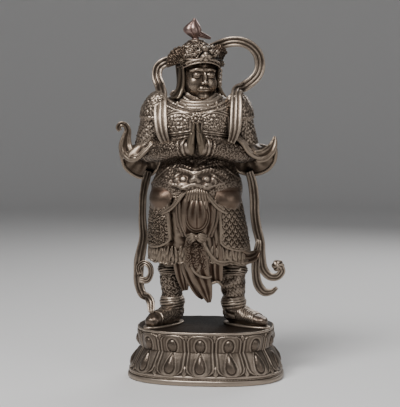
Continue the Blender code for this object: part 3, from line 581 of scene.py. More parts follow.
def repeat_tree():
    """Geometry nodes that set a small form on every point, turned and sized by its attributes."""
    tree = bpy.data.node_groups.new("set_on_points", "GeometryNodeTree")
    sockets = {}
    for label, kind, way in (("Points", "Geometry", "INPUT"), ("Form", "Object", "INPUT"),
                             ("Bronze", "Material", "INPUT"), ("Ornament", "Geometry", "OUTPUT")):
        made = tree.interface.new_socket(label, in_out=way, socket_type="NodeSocket" + kind)
        sockets[label] = made.identifier
    new, link = tree.nodes.new, tree.links.new
    given, out = new("NodeGroupInput"), new("NodeGroupOutput")
    form, place = new("GeometryNodeObjectInfo"), new("GeometryNodeInstanceOnPoints")
    facing, to_rotation = new("GeometryNodeInputNamedAttribute"), new("FunctionNodeEulerToRotation")
    size = new("GeometryNodeInputNamedAttribute")
    real, finish = new("GeometryNodeRealizeInstances"), new("GeometryNodeSetMaterial")
    facing.data_type = size.data_type = "FLOAT_VECTOR"
    facing.inputs["Name"].default_value, size.inputs["Name"].default_value = "facing", "size"
    link(given.outputs["Form"], form.inputs["Object"])
    link(given.outputs["Points"], place.inputs["Points"])
    link(form.outputs["Geometry"], place.inputs["Instance"])
    link(facing.outputs["Attribute"], to_rotation.inputs["Euler"])
    link(to_rotation.outputs["Rotation"], place.inputs["Rotation"])
    link(size.outputs["Attribute"], place.inputs["Scale"])
    link(place.outputs["Instances"], real.inputs["Geometry"])
    link(real.outputs["Geometry"], finish.inputs["Geometry"])
    link(given.outputs["Bronze"], finish.inputs["Material"])
    link(finish.outputs["Geometry"], out.inputs["Ornament"])
    return tree, sockets


REPEAT, REPEAT_INPUTS = repeat_tree()


def ornaments(name, form, places, bronze, node="deity_figure"):
    """Sets a small form at places: rows of point, outward normal, up and size, in millimetres."""
    mesh = bpy.data.meshes.new(name)
    mesh.from_pydata([(np.array(p) * MM + (0, 0, FLOOR)).tolist() for p, _, _, _ in places], [], [])
    angles, sizes = [], []
    for _, normal, up, scale in places:
        z = Vector(normal).normalized()
        x = Vector(up).cross(z).normalized()
        y = z.cross(x)
        angles += list(Matrix((x, y, z)).transposed().to_euler())
        sizes += [scale] * 3 if np.isscalar(scale) else list(scale)
    for label, values in (("facing", angles), ("size", sizes)):
        found = mesh.attributes.new(label, "FLOAT_VECTOR", "POINT")
        found.data.foreach_set("vector", np.array(values, np.float32))
    holder = bpy.data.objects.new(name + "_points", mesh)
    bpy.context.scene.collection.objects.link(holder)
    shape = bpy.data.objects.new(name + "_form", mesh_of(name + "_form", form))
    shape.data.transform(Matrix.Translation((0, 0, -FLOOR)))
    bpy.context.scene.collection.objects.link(shape)
    nodes = holder.modifiers.new("repeat", "NODES")
    nodes.node_group = REPEAT
    nodes[REPEAT_INPUTS["Form"]] = shape
    nodes[REPEAT_INPUTS["Bronze"]] = bronze
    view = bpy.context.evaluated_depsgraph_get()
    made = bpy.data.meshes.new_from_object(holder.evaluated_get(view), depsgraph=view)
    made.shade_smooth()
    piece = bpy.data.objects.new(name, made)
    bpy.context.scene.collection.objects.link(piece)
    bpy.data.objects.remove(holder)
    bpy.data.objects.remove(shape)
    finish_piece(piece, bronze, node)


# Bronze

def patina_and_light_group():
    """Patina with painted light and shade: near black in fine hollows and where painted shade falls,
    brown on the skin, paler where it is worn and where a highlight is painted.
    """
    tree = bpy.data.node_groups.new("bronze_patina_and_painted_light", "ShaderNodeTree")
    face = tree.interface
    for label in ("Hollow", "Skin", "Worn", "Ruddy"):
        face.new_socket(label, in_out="INPUT", socket_type="NodeSocketColor")
    for label in ("Wear", "Dirt", "Gloss"):
        face.new_socket(label, in_out="INPUT", socket_type="NodeSocketFloat")
    for label, kind in (("Colour", "NodeSocketColor"), ("Roughness", "NodeSocketFloat"),
                        ("Height", "NodeSocketFloat")):
        face.new_socket(label, in_out="OUTPUT", socket_type=kind)
    new, link = tree.nodes.new, tree.links.new

    def attribute(name):
        node = new("ShaderNodeAttribute")
        node.attribute_name = name
        return node.outputs["Fac"]

    def noise(scale, detail):
        node = new("ShaderNodeTexNoise")
        node.inputs["Scale"].default_value = scale
        node.inputs["Detail"].default_value = detail
        node.inputs["Roughness"].default_value = 0.6
        link(place.outputs["Object"], node.inputs["Vector"])
        return node.outputs["Fac"]

    def maths(operation, a, b=None, c=None, clamp=False):
        node = new("ShaderNodeMath")
        node.operation, node.use_clamp = operation, clamp
        for socket, value in zip(node.inputs, (a, b, c)):
            if value is None:
                continue
            if isinstance(value, (int, float)):
                socket.default_value = value
            else:
                link(value, socket)
        return node.outputs[0]

    def span(value, low, high, to_low=0.0, to_high=1.0):
        node = new("ShaderNodeMapRange")
        link(value, node.inputs["Value"])
        limits = {"From Min": low, "From Max": high, "To Min": to_low, "To Max": to_high}
        for label, number in limits.items():
            node.inputs[label].default_value = number
        return node.outputs["Result"]

    def mix(share, a, b):
        node = new("ShaderNodeMix")
        node.data_type = "RGBA"
        link(share, node.inputs["Factor"])
        link(a, node.inputs["A"])
        link(b, node.inputs["B"])
        return node.outputs["Result"]

    given, out, place = new("NodeGroupInput"), new("NodeGroupOutput"), new("ShaderNodeTexCoord")
    wear_and_highlight, sky, ruddy = attribute("wear_and_highlight"), attribute("sky"), attribute("ruddy")
    cloud, grain, fleck = noise(38, 4), noise(330, 4), noise(1500, 2)
    patchy = span(cloud, 0.38, 0.66)
    worn_and_highlight = maths("MULTIPLY_ADD", grain, 0.45, wear_and_highlight)
    worn_and_highlight = maths("MULTIPLY_ADD", patchy, 0.4, worn_and_highlight)
    # Open places take more of the pale colour: a painted highlight.
    worn_and_highlight = maths("MULTIPLY_ADD", sky, 0.6, worn_and_highlight)
    worn_and_highlight = maths("MULTIPLY", span(worn_and_highlight, 0.72, 1.65), given.outputs["Wear"], clamp=True)
    # Near black where a place is closed to the sky, as painted ambient shade, and in sunken fine
    # relief, as patina; less on raised places.
    patina_and_shade = maths("MULTIPLY_ADD", wear_and_highlight, -0.5, span(sky, 0.12, 0.84, 0.95, 0.0))
    patina_and_shade = maths("MULTIPLY_ADD", patchy, 0.1, patina_and_shade, clamp=True)
    patina_and_shade = maths("MULTIPLY", patina_and_shade, given.outputs["Dirt"], clamp=True)
    # The ruddy tone: a darker, redder bronze of the object's own, which also stands for painted shade
    # over the upper petal row and, in part, the belly.
    red = maths("MULTIPLY", span(cloud, 0.3, 0.6, 0.35, 1.0), ruddy, clamp=True)
    colour = mix(red, given.outputs["Skin"], given.outputs["Ruddy"])
    worn_and_highlight = maths("MULTIPLY", worn_and_highlight, maths("MULTIPLY_ADD", ruddy, -0.7, 1.0))
    # Raised and open places take the pale colour: rubbed wear together with a painted highlight.
    colour = mix(worn_and_highlight, colour, given.outputs["Worn"])
    colour = mix(patina_and_shade, colour, given.outputs["Hollow"])
    rough = maths("MULTIPLY_ADD", patina_and_shade, 0.3, span(grain, 0.3, 0.7, 0.0, 0.12))
    rough = maths("ADD", rough, given.outputs["Gloss"])
    rough = maths("MULTIPLY_ADD", worn_and_highlight, 0.04, rough, clamp=True)
    height = maths("MULTIPLY_ADD", fleck, 0.4, grain)
    link(colour, out.inputs["Colour"])
    link(rough, out.inputs["Roughness"])
    link(height, out.inputs["Height"])
    return tree


PATINA_AND_LIGHT = patina_and_light_group()


def bronze(name, hollow, skin, worn_and_highlight, ruddy, wear_and_highlight=1.0, patina_and_shade=1.0, gloss=0.285, bump=0.00035,
           metallic=0.84, specular=0.5):
    """A material from the shared patina and painted light and shade, with its own colours and amounts.
    """
    made = bpy.data.materials.new(name)
    made.use_nodes = True
    nodes, links = made.node_tree.nodes, made.node_tree.links
    shader = nodes["Principled BSDF"]
    patina_and_light = nodes.new("ShaderNodeGroup")
    patina_and_light.node_tree = PATINA_AND_LIGHT
    for label, value in (("Hollow", hollow), ("Skin", skin), ("Worn", worn_and_highlight), ("Ruddy", ruddy)):
        patina_and_light.inputs[label].default_value = (*value, 1)
    for label, value in (("Wear", wear_and_highlight), ("Dirt", patina_and_shade), ("Gloss", gloss)):
        patina_and_light.inputs[label].default_value = value
    rise = nodes.new("ShaderNodeBump")
    rise.inputs["Strength"].default_value = 0.5
    rise.inputs["Distance"].default_value = bump
    links.new(patina_and_light.outputs["Colour"], shader.inputs["Base Color"])
    links.new(patina_and_light.outputs["Roughness"], shader.inputs["Roughness"])
    links.new(patina_and_light.outputs["Height"], rise.inputs["Height"])
    links.new(rise.outputs["Normal"], shader.inputs["Normal"])
    shader.inputs["Metallic"].default_value = metallic
    shader.inputs["Specular IOR Level"].default_value = specular
    return made


# Below: the near black of crevice patina and painted shade, then the pale colour of rubbed edges and
# painted highlights, then a deep brown tone.
DARK = (0.014, 0.0095, 0.0065)
WORN_AND_HIGHLIGHT = (0.34, 0.275, 0.218)
DEEP = (0.045, 0.025, 0.016)
FIGURE_BRONZE = bronze("figure_bronze", DARK, (0.066, 0.048, 0.034), WORN_AND_HIGHLIGHT, DEEP)
# A paler, more worn copy of the figure bronze for the chest, arms and boots: partly their own paler
# tone, partly painted light from the top light.
PALE_LIT_BRONZE = bronze("pale_lit_bronze", DARK, (0.105, 0.08, 0.06), WORN_AND_HIGHLIGHT, DEEP, wear_and_highlight=1.15, patina_and_shade=0.6)
FACE_BRONZE = bronze("face_bronze", DARK, (0.086, 0.061, 0.042), (0.32, 0.255, 0.198),
                     (0.13, 0.065, 0.038), wear_and_highlight=0.9, patina_and_shade=0.8, gloss=0.2, bump=0.00005, metallic=0.85)
# A darker, browner, less worn copy for the skirt, sleeves and cloths: partly their own tone, partly
# painted shade below the lit chest.
CLOTH_DARK_AND_SHADED = bronze("cloth_dark_and_shaded", DARK, (0.044, 0.029, 0.019), (0.31, 0.247, 0.19),
                      (0.066, 0.031, 0.019), wear_and_highlight=0.75)
# A darker, less worn bronze for the hands, neck guard and helmet flaps: painted shade.
SHADED_BRONZE = bronze("shaded_bronze", DARK, (0.044, 0.032, 0.021), (0.24, 0.19, 0.14),
                     (0.05, 0.029, 0.019), wear_and_highlight=0.6)
BASE_BRONZE = bronze("base_bronze", DARK, (0.1, 0.076, 0.057), (0.34, 0.278, 0.223),
                     (0.04, 0.025, 0.017), patina_and_shade=0.8)
# The base's top: near black and barely reflective, painted shade that keeps it from showing the pale
# room.
BASE_TOP_SHADE = bronze("base_top_shade", DARK, (0.014, 0.0095, 0.007), (0.045, 0.033, 0.025),
                         (0.05, 0.03, 0.02), wear_and_highlight=0.5, gloss=0.4, metallic=0.1, specular=0.05)
PLUME_BRONZE = bronze("plume_bronze", (0.03, 0.017, 0.015), (0.15, 0.1, 0.086), (0.36, 0.265, 0.235),
                      (0.17, 0.085, 0.07))


# The lotus base

BASE_WIDTH, BASE_DEPTH, BASE_HEIGHT = 212.0, 158.0, 69.0
FOOT, WAIST, RIM = 12.5, 42.5, 4.2
WAIST_INSET, RIM_INSET, RIM_INSET_DEPTH = 19.5, 13.5, 8.0
PETALS, PETAL_SETBACK, OUTLINE_POWER = 14, 5.0, 2.5
PETAL_COLUMNS = 40
# Heights with their insets, up the foot, and drops with their insets, up and over the rim
FOOT_ROWS = ((0.0, 1.6), (0.4, 0.6), (1.4, 0.05), (3.2, 0), (5.0, 0.1), (6.3, 0.9), (6.7, 2.1),
             (7.2, 2.6),
             (9.2, 2.4), (9.7, 1.9), (10.6, 1.5), (11.7, 1.6), (12.2, 2.4))
RIM_ROWS = ((3.8, 2.2), (3.4, 0.9), (2.9, 0.2), (2.0, 0), (1.2, 0), (0.4, 0.3), (0, 1.2),
            (0.1, 2.0),
            (0.5, 3.0), (0.5, 12), (0.5, 30))
TOP_ROWS = ((0.9, 2.2), (0.3, 2.2), (0.25, 2.7), (0.25, 8), (0.25, 20), (0.25, 34), (0.25, 48))


def oval(inset, height, turn, proud=0.0):
    """A point of the base's side, set in from its outline."""
    inset_deep = inset * RIM_INSET_DEPTH / RIM_INSET
    x = (BASE_WIDTH / 2 - inset + proud) * power(np.cos(turn), 2 / OUTLINE_POWER)
    y = (BASE_DEPTH / 2 - inset_deep + proud) * power(np.sin(turn), 2 / OUTLINE_POWER)
    return np.stack(np.broadcast_arrays(x, y, height - FLOOR / MM), -1)


def even_turns(count):
    """Turns that space points evenly along the oval."""
    turn = FRONT + np.linspace(0, 2 * np.pi, 5761)
    line = oval(0, 0, turn)
    length = np.concatenate([[0], np.cumsum(np.linalg.norm(np.diff(line, axis=0), axis=1))])
    return np.interp(length[-1] * np.arange(count) / count, length, turn)


def petal_relief(share, tip, small):
    """The heights of the petals with their jewel stones and the leaf tips between, and where each jewel
    lies.

    Share counts petals round the base, tip runs from 0 at a petal's root to 1 at its end.
    """
    across = 2 * (share - np.round(share))
    width = 0.975 * np.sqrt(1 - np.clip((tip - 0.6) / 0.42, 0, 1) ** 2.6)
    edge = 1 - np.abs(across) / np.maximum(width, 0.03)
    inside = np.clip(edge * 14, 0, 1)
    body = inside * (1.5 + 1.5 * np.clip(edge * 1.5, 0, 1) ** 0.7 * (0.6 + 0.4 * np.sin(np.pi * tip)))
    body += inside * (0.8 * ridge(edge - 0.1, 0.075) - 0.3 * ridge(edge - 0.23, 0.07))
    half_wide, half_high, centre = (0.31, 0.35, 0.37) if small else (0.33, 0.37, 0.5)
    low = np.clip((tip - centre) / half_high, -1, 1)
    narrow = half_wide * (1 if small else 0.8 + 0.3 * low)
    jewel = 1 - np.hypot(across / narrow, (tip - centre) / half_high)
    body += 3.4 * np.sqrt(np.clip(jewel, 0, 1))
    body += 0.25 * ridge(jewel + 0.4, 0.2) - 0.5 * ridge(jewel + 0.12, 0.1)
    between = 2 * (share + 0.5 - np.round(share + 0.5))
    point = 1 - np.abs(between) / np.maximum(0.42 * (1.04 - tip) ** 0.5, 0.02)
    veins = 0.8 * ridge(between, 0.05) + 0.7 * ridge(point - 0.3, 0.14)
    behind = np.clip(point * 4, 0, 1) * (1.6 + veins)
    ground = 0.9 * np.clip((1 - tip) * 6, 0, 1)
    behind = np.maximum(behind * np.clip((tip - 0.5) * 6, 0, 1), ground)
    return np.maximum(body, (1 - inside) * behind), np.clip(jewel * 12, 0, 1)


def base_rows():
    """Height, inset, place along the petal and the row of petals, up the side of the base."""
    top = BASE_HEIGHT - RIM
    rows = [(height, inset, 0, None) for height, inset in FOOT_ROWS]
    for t in np.linspace(0.015, 1, 42):
        inset = PETAL_SETBACK + (WAIST_INSET - PETAL_SETBACK) * t**1.25
        rows.append((FOOT + (WAIST - FOOT) * t, inset, 1 - t, "lower"))
    for t in np.linspace(0.02, 1, 32):
        inset = WAIST_INSET - (WAIST_INSET - RIM_INSET - 2) * t**0.7
        rows.append((WAIST + (top - WAIST) * t, inset, t, "upper"))
    return rows + [(BASE_HEIGHT - drop, RIM_INSET + inset, 0, None) for drop, inset in RIM_ROWS]


def lotus_base():
    count = PETALS * PETAL_COLUMNS
    turn = even_turns(count)
    share = np.arange(count) / PETAL_COLUMNS
    rings, jewel_tone_and_shade = [], []
    for height, inset, tip, row in base_rows():
        proud, jewel = 0, np.zeros(count)
        if row is not None:
            proud, jewel = petal_relief(share, np.full(count, tip), row == "upper")
        rings.append(oval(inset, height, turn, proud))
        # The upper row of petals takes at least half of the dark tone: painted shade over that row; the
        # jewels keep their own dark tone.
        jewel_tone_and_shade.append(np.maximum(jewel, 0.5 if row == "upper" else 0))
    rings = np.array(rings)
    rings[3:-3] = emboss(rings, 0.16 * wobble(rings, 16, 3))[3:-3]
    yield loft(rings, ruddy=np.concatenate(jewel_tone_and_shade + [[0, 0]]))


def base_top():
    """The sheet that closes the base, a little lower than its rim."""
    turn = even_turns(180)
    yield loft([oval(RIM_INSET + inset, BASE_HEIGHT - drop, turn) for drop, inset in TOP_ROWS])


def round_beads(height, inset, count, size):
    """Places of even beads round the base."""
    turn = even_turns(count)
    place = oval(inset, height, turn)
    ahead = oval(inset, height, turn + 0.01) - place
    outward = np.cross(ahead, (0, 0, 1))
    return [(p, o, (0, 0, 1), size) for p, o in zip(place, outward)]


BEAD = [ball((0, 0, 0), (1, 1, 1), around=6, stations=3)]

cast("lotus_base_body", lotus_base(), BASE_BRONZE, "lotus_base")
cast("lotus_base_top", base_top(), BASE_TOP_SHADE, "lotus_base")
ornaments("lotus_base_foot_beads", BEAD, round_beads(8.2, 2.5, 300, 0.85),
          BASE_BRONZE, "lotus_base")
ornaments("lotus_base_rim_beads", BEAD, round_beads(BASE_HEIGHT - RIM - 0.6, RIM_INSET + 1.8, 250, 0.8),
          BASE_BRONZE, "lotus_base")


# The legs and boots

def legs():
    """The greaves with their patterns, the drape above them and the wraps below."""
    for side, rows in LEGS.items():
        rings = sweep(rows, round_section(96), step=1.0)
        across, along = skin_lengths(rings)
        z = rings[..., 2]
        if side == "right":
            pattern = 0.75 * scrolls(across, along, 8.5, seed=11)
        else:
            pattern = 1.0 * scales(across + 0.2 * along, along, 5.0, 4.2)
            pattern += 0.5 * np.sin((along + 0.35 * across) / 2.1)
        guard = over(z - 39, 0.5) * over(GREAVE_TOP - z, 0.5)
        drape = 0.8 * np.sin(turns(96)[None, :] * 9 + 0.05 * z) * over(z - GREAVE_TOP, 0.6)
        wraps = 0.9 * np.abs(np.sin((z + 0.22 * across) / 2.4)) * over(38 - z, 1)
        rings = emboss(rings, pattern * guard + drape + wraps + 0.2 * wobble(rings, 12, 5))
        yield loft(rings, ruddy=0.3)
    for x in (-46.5, 37.5):
        yield from boot_bands(x)


def boot_bands(x):
    """The ribbed cuff under a knee and the wrap round an ankle."""
    cuff = ((x, 1, 80, 17.5, 17), (x, 0, 77, 19, 18), (x, 0, 73.5, 19.4, 18.8), (x, 0, 69, 17, 17))
    cuff = sweep(cuff, round_section(90), step=0.65)
    _, along = skin_lengths(cuff)
    yield loft(emboss(cuff, 0.6 * np.cos(along * 1.9)))
    wrap = ((x, 2, 38, 14.5, 15.5), (x, 2, 33, 16.5, 17.5), (x, 2, 29, 17, 18), (x, 2, 22, 15, 16))
    wrap = sweep(wrap, round_section(90), step=0.65)
    across, along = skin_lengths(wrap)
    turns_of_cloth = 0.75 * np.abs(np.sin((along + 0.12 * across) * 0.75))
    yield loft(emboss(wrap, turns_of_cloth + 0.3 * wobble(wrap, 9, 8)))


def boot_relief(side, across, along, share, beside, high):
    """A ring of scrolls over the right boot's instep, creases over the left one's."""
    if side == "right":
        ring_at = np.hypot((share - 0.5) / 0.17, beside / 9.5)
        band = over(np.abs(ring_at - 0.8) - 0.3, 0.03) * over(0.7 - share, 0.02)
        relief = 0.9 * ridge(ring_at - 1, 0.14) + 0.5 * ridge(ring_at - 0.62, 0.12) * high
        relief += 0.6 * scrolls(across, along, 6.5, 21) * band
        relief += 0.9 * ridge(share - 0.74, 0.012) - 0.5 * ridge(share - 0.765, 0.012)
    else:
        creases = np.abs(np.sin(along * 0.95 + 0.09 * across))
        relief = (0.9 * creases + 0.3 * scales(across, along, 4, 3.4)) * over(0.74 - share, 0.01)
        relief += 1.0 * ridge(share - 0.76, 0.014)
    return relief * np.clip(high * 3, 0, 1)


def boots():
    for side, rows in FEET.items():
        boot = sweep(rows, round_section(90, 2.3), facing=(0, 0, 1), step=0.8)
        across, along = skin_lengths(boot)
        share = along / along[-1:]
        high = np.clip((boot[..., 2] - 8) / 14, 0, 1)
        heel, toe = np.array(rows[0][:2], float), np.array(rows[-2][:2], float)
        ahead = unit(toe - heel)
        aside = np.array((-ahead[1], ahead[0]))
        beside = (boot - boot.mean(1, keepdims=True))[..., :2] @ aside
        relief = boot_relief(side, across, along, share, beside, high)
        # the toes are lower than the instep, and the sole is flat
        boot[..., 2] = 1 + (boot[..., 2] - 1) * (1 - 0.28 * over(share - 0.76, 0.035))
        boot = emboss(boot, relief + 0.2 * wobble(boot, 10, 6))
        boot[..., 2] = np.maximum(boot[..., 2], 1.0)
        toes_dark = np.clip((share - 0.74) * 12, 0, 1)
        yield loft(boot, ruddy=np.append(toes_dark.ravel(), (0, 1)))
        yield sole_plate(heel, toe, ahead, aside)


def sole_plate(heel, toe, ahead, aside):
    """The thin plate under a boot, cast with it, that stands on the base."""
    turn = turns(100)
    half_long = np.linalg.norm(toe - heel) / 2 + 6.2
    rings = []
    for grow, z in ((0.0, -0.5), (0.55, -0.2), (0.8, 0.9), (0.55, 2.0), (0.0, 2.35), (-1.5, 2.4)):
        ring = np.outer(np.cos(turn), ahead) * (half_long + grow)
        ring += np.outer(np.sin(turn), aside) * (SOLE_HALF_WIDE + grow) + (heel + toe) / 2
        rings.append(np.column_stack([ring, np.full(len(turn), z)]))
    return loft(rings)


GREAVE_TOP = 74
SOLE_HALF_WIDE = 16.2

cast("legs", legs(), FIGURE_BRONZE)
cast("boots", boots(), PALE_LIT_BRONZE)


# The skirt, its plates and the hanging cloths

def skirt_cloth():
    """The skirt itself, with a pleated and gathered hem."""
    count, rows = 296, 84
    turn = turns(count)[None, :]
    height = np.linspace(184, 88, rows)[:, None]
    rings = body_point(SKIRT, height + 0 * turn, turn + 0 * height)
    down = np.clip((118 - height) / 24, 0, 1)
    low = np.clip((112 - height) / 8, 0, 1)
    sway = 0.05 * (height - 100) * np.sin(5 * turn + 0.7)
    leaf = np.abs(np.sin(24 * turn + 2.2 * np.sin(4 * turn + 1) + 1.1 * np.sin(9 * turn) + sway))
    tuck = np.cos(57 * turn + 2.5 * np.sin(6 * turn) - 2 * sway)
    relief = low * (1.2 * leaf**0.8 - 1.0 + 0.4 * tuck)
    relief = relief + down * (1.8 * np.cos(11 * turn + np.sin(3 * turn)) + 0.4)
    folds = np.cos(26 * turn + 0.04 * height + 1.3 * np.sin(5 * turn))
    relief = relief + folds * np.clip((172 - height) / 12, 0, 1) * (1 - 0.6 * down)
    relief = relief + 0.25 * wobble(rings, 13, 9)
    rings = emboss(rings, relief)
    wave = 3.5 * np.sin(3 * turn + 1.2) * np.cos(turn) + 1.8 * (1 - leaf[-1:]) + 1.0 * np.sin(13 * turn)
    rings[..., 2] += wave * np.clip((96 - height) / 8, 0, 1)
    yield loft(rings, ruddy=0.3, hollow=0.16)
    waist = body_point(SKIRT, np.full(150, 180.0), turns(150))
    outward = unit(waist - (SKIRT_AXIS, 0, 180))
    for lift, thick in ((0, 3.0), (4.6, 2.4), (-4.0, 2.2)):
        yield tube(waist + outward * 1.0 + (0, 0, lift), thick, 9, closed=True)
    yield tube(rings[-1], 1.2, 8, closed=True)


def side_plates():
    yield armour(FRONT - 0.93, 0.52, 168, 107, 15, 5, swell=3,
                 pattern=lambda a, b: 1.3 * scrolls(a, b, 7.2, 31) + 0.9 * knots(a, b, 5.2))
    yield armour(FRONT + 0.93, 0.52, 168, 103, 15, 5, swell=3,
                 pattern=lambda a, b: 2.6 * scales(a, b, 7.8, 5.0))
    for side in (-1, 1):
        yield armour(-FRONT + side * 0.72, 0.56, 172, 104 + side, 14, 4.5, swell=2, step=1.5,
                     pattern=lambda a, b: 1.5 * scales(a, b, 7.5, 6.0))


def hip_pads():
    """Rounded pads that swell out under the mask, over a gathered lower layer."""
    for side in (-1, 1):
        yield armour(FRONT + side * 0.87, 0.48, 190, 156.5, 23, 5.0, swell=7.5, ruddy=0.85, border=1.8,
                     rim=0.5, step=1.2)
        yield armour(FRONT + side * 0.9, 0.47, 184, 151.5, 21, 3.8, swell=5.5, ruddy=0.4, border=1.6,
                     rim=0.7, scallop=0.6, step=1.2,
                     pattern=lambda a, b: 0.4 * np.cos(a * 0.9 + 0.6 * np.sin(b * 0.3)))


def on_skirt(x, z, proud):
    """A point that stands proud of the skirt's front."""
    return x, front_of(SKIRT, x, z) - proud, z


def swags():
    """The rolled edges that run from the mask's jaw down the inner sides of the hip pads."""
    for side in (-1, 1):
        for lift, proud, thick in ((0, 6.5, 1.9), (3.6, 6.0, 1.4)):
            places = [on_skirt(MIDDLE + side * reach, z + lift, proud) for reach, z in SWAG]
            yield tube(spline(places, 70), thick, 10)


SWAG = ((7, 187), (15, 180), (22, 171), (30, 162), (39, 156), (48, 154))


def bag():
    """The fluted bag that hangs on the apron, with a double rim round its lower half."""
    rise, turn = rises(66), turns(96)[None, :]
    flute = np.cos(12 * (turn - FRONT)) * np.clip(0.25 + np.sin(rise), 0, 1) ** 1.3
    x, y, z = np.moveaxis(directions(rise, turn) * BAG_SIZE, -1, 0)
    x, y = x * (1 + 0.085 * flute), y * (1 + 0.085 * flute)
    level = np.hypot(x / BAG_SIZE[0], z / BAG_SIZE[2])
    y = y - (1.1 * ridge(level - 0.86, 0.045) + 0.8 * ridge(level - 0.72, 0.035)) * over(6 - z, 2)
    y = y + 0.35 * ridge(x - 0.5, 1.1) * over(8 - z, 3) * over(z + 16, 2)
    return loft(np.stack([x, y, z], axis=-1) + (-6.6, -46.5, 151.5), ruddy=0.6)


BAG_SIZE = (19.5, 10.5, 25)


def gathers():
    """The narrow folds gathered over the bag."""
    for k in range(9):
        s = (k - 4) / 4
        rows = ((-5.5 + 9.5 * s, -50 + 2 * s * s, 189.5 - 2 * abs(s), 1.6, 2.2),
                (-6 + 13.5 * s, -53.6 + 2.5 * s * s, 181 - 2 * abs(s), 2.1, 2.2),
                (-6.5 + 17 * s, -50.5 + 6 * s * s, 169 - 6 * abs(s), 1.5, 1.4))
        yield strip(rows, round_section(12), seed=k, step=1.1, uneven=0.1, ruddy=0.3)


def side_folds():
    """Two long folds down each side of the bag."""
    for side in (-1, 1):
        for n in (0, 1):
            x = -6.5 + side * (23.5 + 4.0 * n)
            rows = ((*on_skirt(x + side, 178, 3.0), 1.2, 1.4), (*on_skirt(x, 165, 4.0), 1.9, 1.8),
                    (*on_skirt(x - side * 1.5, 145, 4.0), 1.9, 1.8),
                    (*on_skirt(x - side * 9, 124, 4.5), 1.5, 1.4))
            yield strip(rows, round_section(12), seed=40 + n, step=1.2, uneven=0.15, ruddy=0.5)


def bow():
    """The small bow under the bag: three loops a side and a knot."""
    for side in (-1, 1):
        for lift, reach in ((1.4, 13.5), (-1.2, 13), (-3.8, 10)):
            rows = ((-7, -55, 124.5, 1.6, 2.0), (-7 + side * reach * 0.45, -56, 125 + lift, 3.0, 2.4),
                    (-7 + side * reach, -52, 123 + 1.7 * lift, 1.6, 1.6))
            yield strip(rows, band_section(1, 0.2, 16), seed=3, step=0.9, uneven=0.1)
    yield ball((-7, -55.5, 124), (3.7, 4.4, 3.7), around=36, stations=20, relief=lobes(6, 0.07))


def front_cloths():
    """The gathered apron with its bag and bow."""
    yield armour(FRONT + 0.05, 0.36, 184, 125, 16, 3.4, swell=2.0, border=1.5, rim=0.6, step=1.1,
                 ruddy=0.6, pattern=lambda a, b: np.cos(a * 0.5 + 0.9 * np.sin(b * 0.07)))
    yield bag()
    yield from gathers()
    yield from side_folds()
    yield from bow()


# The rolled edges of the lower cloths: radius, points along the curve, shift and places
BOW_EDGE = ((2, -52, 118), (8, -52, 107), (14, -49, 98), (20, -47, 92), (29, -42, 90.5),
            (38, -35, 91),
            (46, -29, 88), (54, -21, 87.5), (62, -12, 91), (67, -7, 94), (70.5, -3, 97.5))
CLOTH_EDGES = (
    (1.9, 110, (0, 0, 0), BOW_EDGE),
    (1.4, 110, (0, 1.2, -3.2), BOW_EDGE),
    (1.6, 90, (0, 0, 0), ((-26, -43, 112), (-26, -43.5, 96), (-22, -44.5, 82), (-14, -45.5, 74),
                          (-6, -50, 78), (-2, -51, 86))),
    (1.8, 60, (0, 0, 0), ((-14, -50.5, 84), (-9, -51, 77), (-2, -51, 72), (6, -50.5, 70),
                          (12, -47, 71))),
    (1.8, 60, (0, 0, 0), ((6, -46, 61), (13, -44.5, 62), (20, -42, 63.5), (26, -38, 58))),
)


def hanging_cloths():
    """The cloths below the bow, pleated down their length, with rolled edges."""
    for seed, (name, rows) in enumerate(CLOTHS.items()):
        rings = sweep(rows, band_section(2, 0.2, 34, 0.1), step=1.1)
        relief = 0.9 * wobble(rings, 34, seed)
        if name == "long_tail":
            x, z = rings[..., 0], rings[..., 2]
            relief = relief + 0.7 * scrolls(x, z, 6.6, 51) * over(z - 82, 2)
        yield loft(emboss(rings, relief), ruddy=0.55)
    for radius, count, shift, places in CLOTH_EDGES:
        yield tube(spline(places, count) + shift, radius, 10 if radius < 1.5 else 12)


def leaf_form():
    """A small pointed leaf that hangs down, with a rib along its middle."""
    rise = np.linspace(-1, 1, 9)[:, None]
    turn = turns(10)[None, :]
    wide = np.maximum(0.06, np.cos(rise * 1.35) * (1 + 0.35 * rise)) * 0.92
    rings = np.broadcast_arrays(wide * np.cos(turn), -rise, 0.9 * wide * np.sin(turn))
    return [loft(np.stack(rings, -1))]


def fringe_places():
    """Where the leaves hang round the skirt's hem: point, outward, up and size."""
    rng = np.random.default_rng(17)
    found = []
    for row, (height, count) in enumerate(((97.0, 84), (103.0, 76))):
        for turn in (np.arange(count) + rng.uniform(-0.25, 0.25, count)) * 2 * np.pi / count:
            at = body_point(SKIRT, np.array(height + rng.uniform(-1.5, 1.5)), np.array(turn))
            outward = unit(np.array((0.6 * (at[0] + 9), at[1], 0)))
            beside = np.cross(outward, (0, 0, 1))
            up = np.array((0, 0, 1)) + beside * rng.uniform(-0.35, 0.35)
            size = (2.6, 8.2 * rng.uniform(0.8, 1.2), 1.9)
            found.append((at + outward * (1.2 + row), outward, up, size))
    return found


cast("skirt_cloth", skirt_cloth(), CLOTH_DARK_AND_SHADED)
ornaments("skirt_fringe_leaves", leaf_form(), fringe_places(), CLOTH_DARK_AND_SHADED)
cast("side_plates", side_plates(), CLOTH_DARK_AND_SHADED)
cast("hip_pads", hip_pads(), CLOTH_DARK_AND_SHADED)
cast("hip_swags", swags(), CLOTH_DARK_AND_SHADED)
cast("front_cloths", front_cloths(), CLOTH_DARK_AND_SHADED)
cast("hanging_cloths", hanging_cloths(), CLOTH_DARK_AND_SHADED)


# The trunk

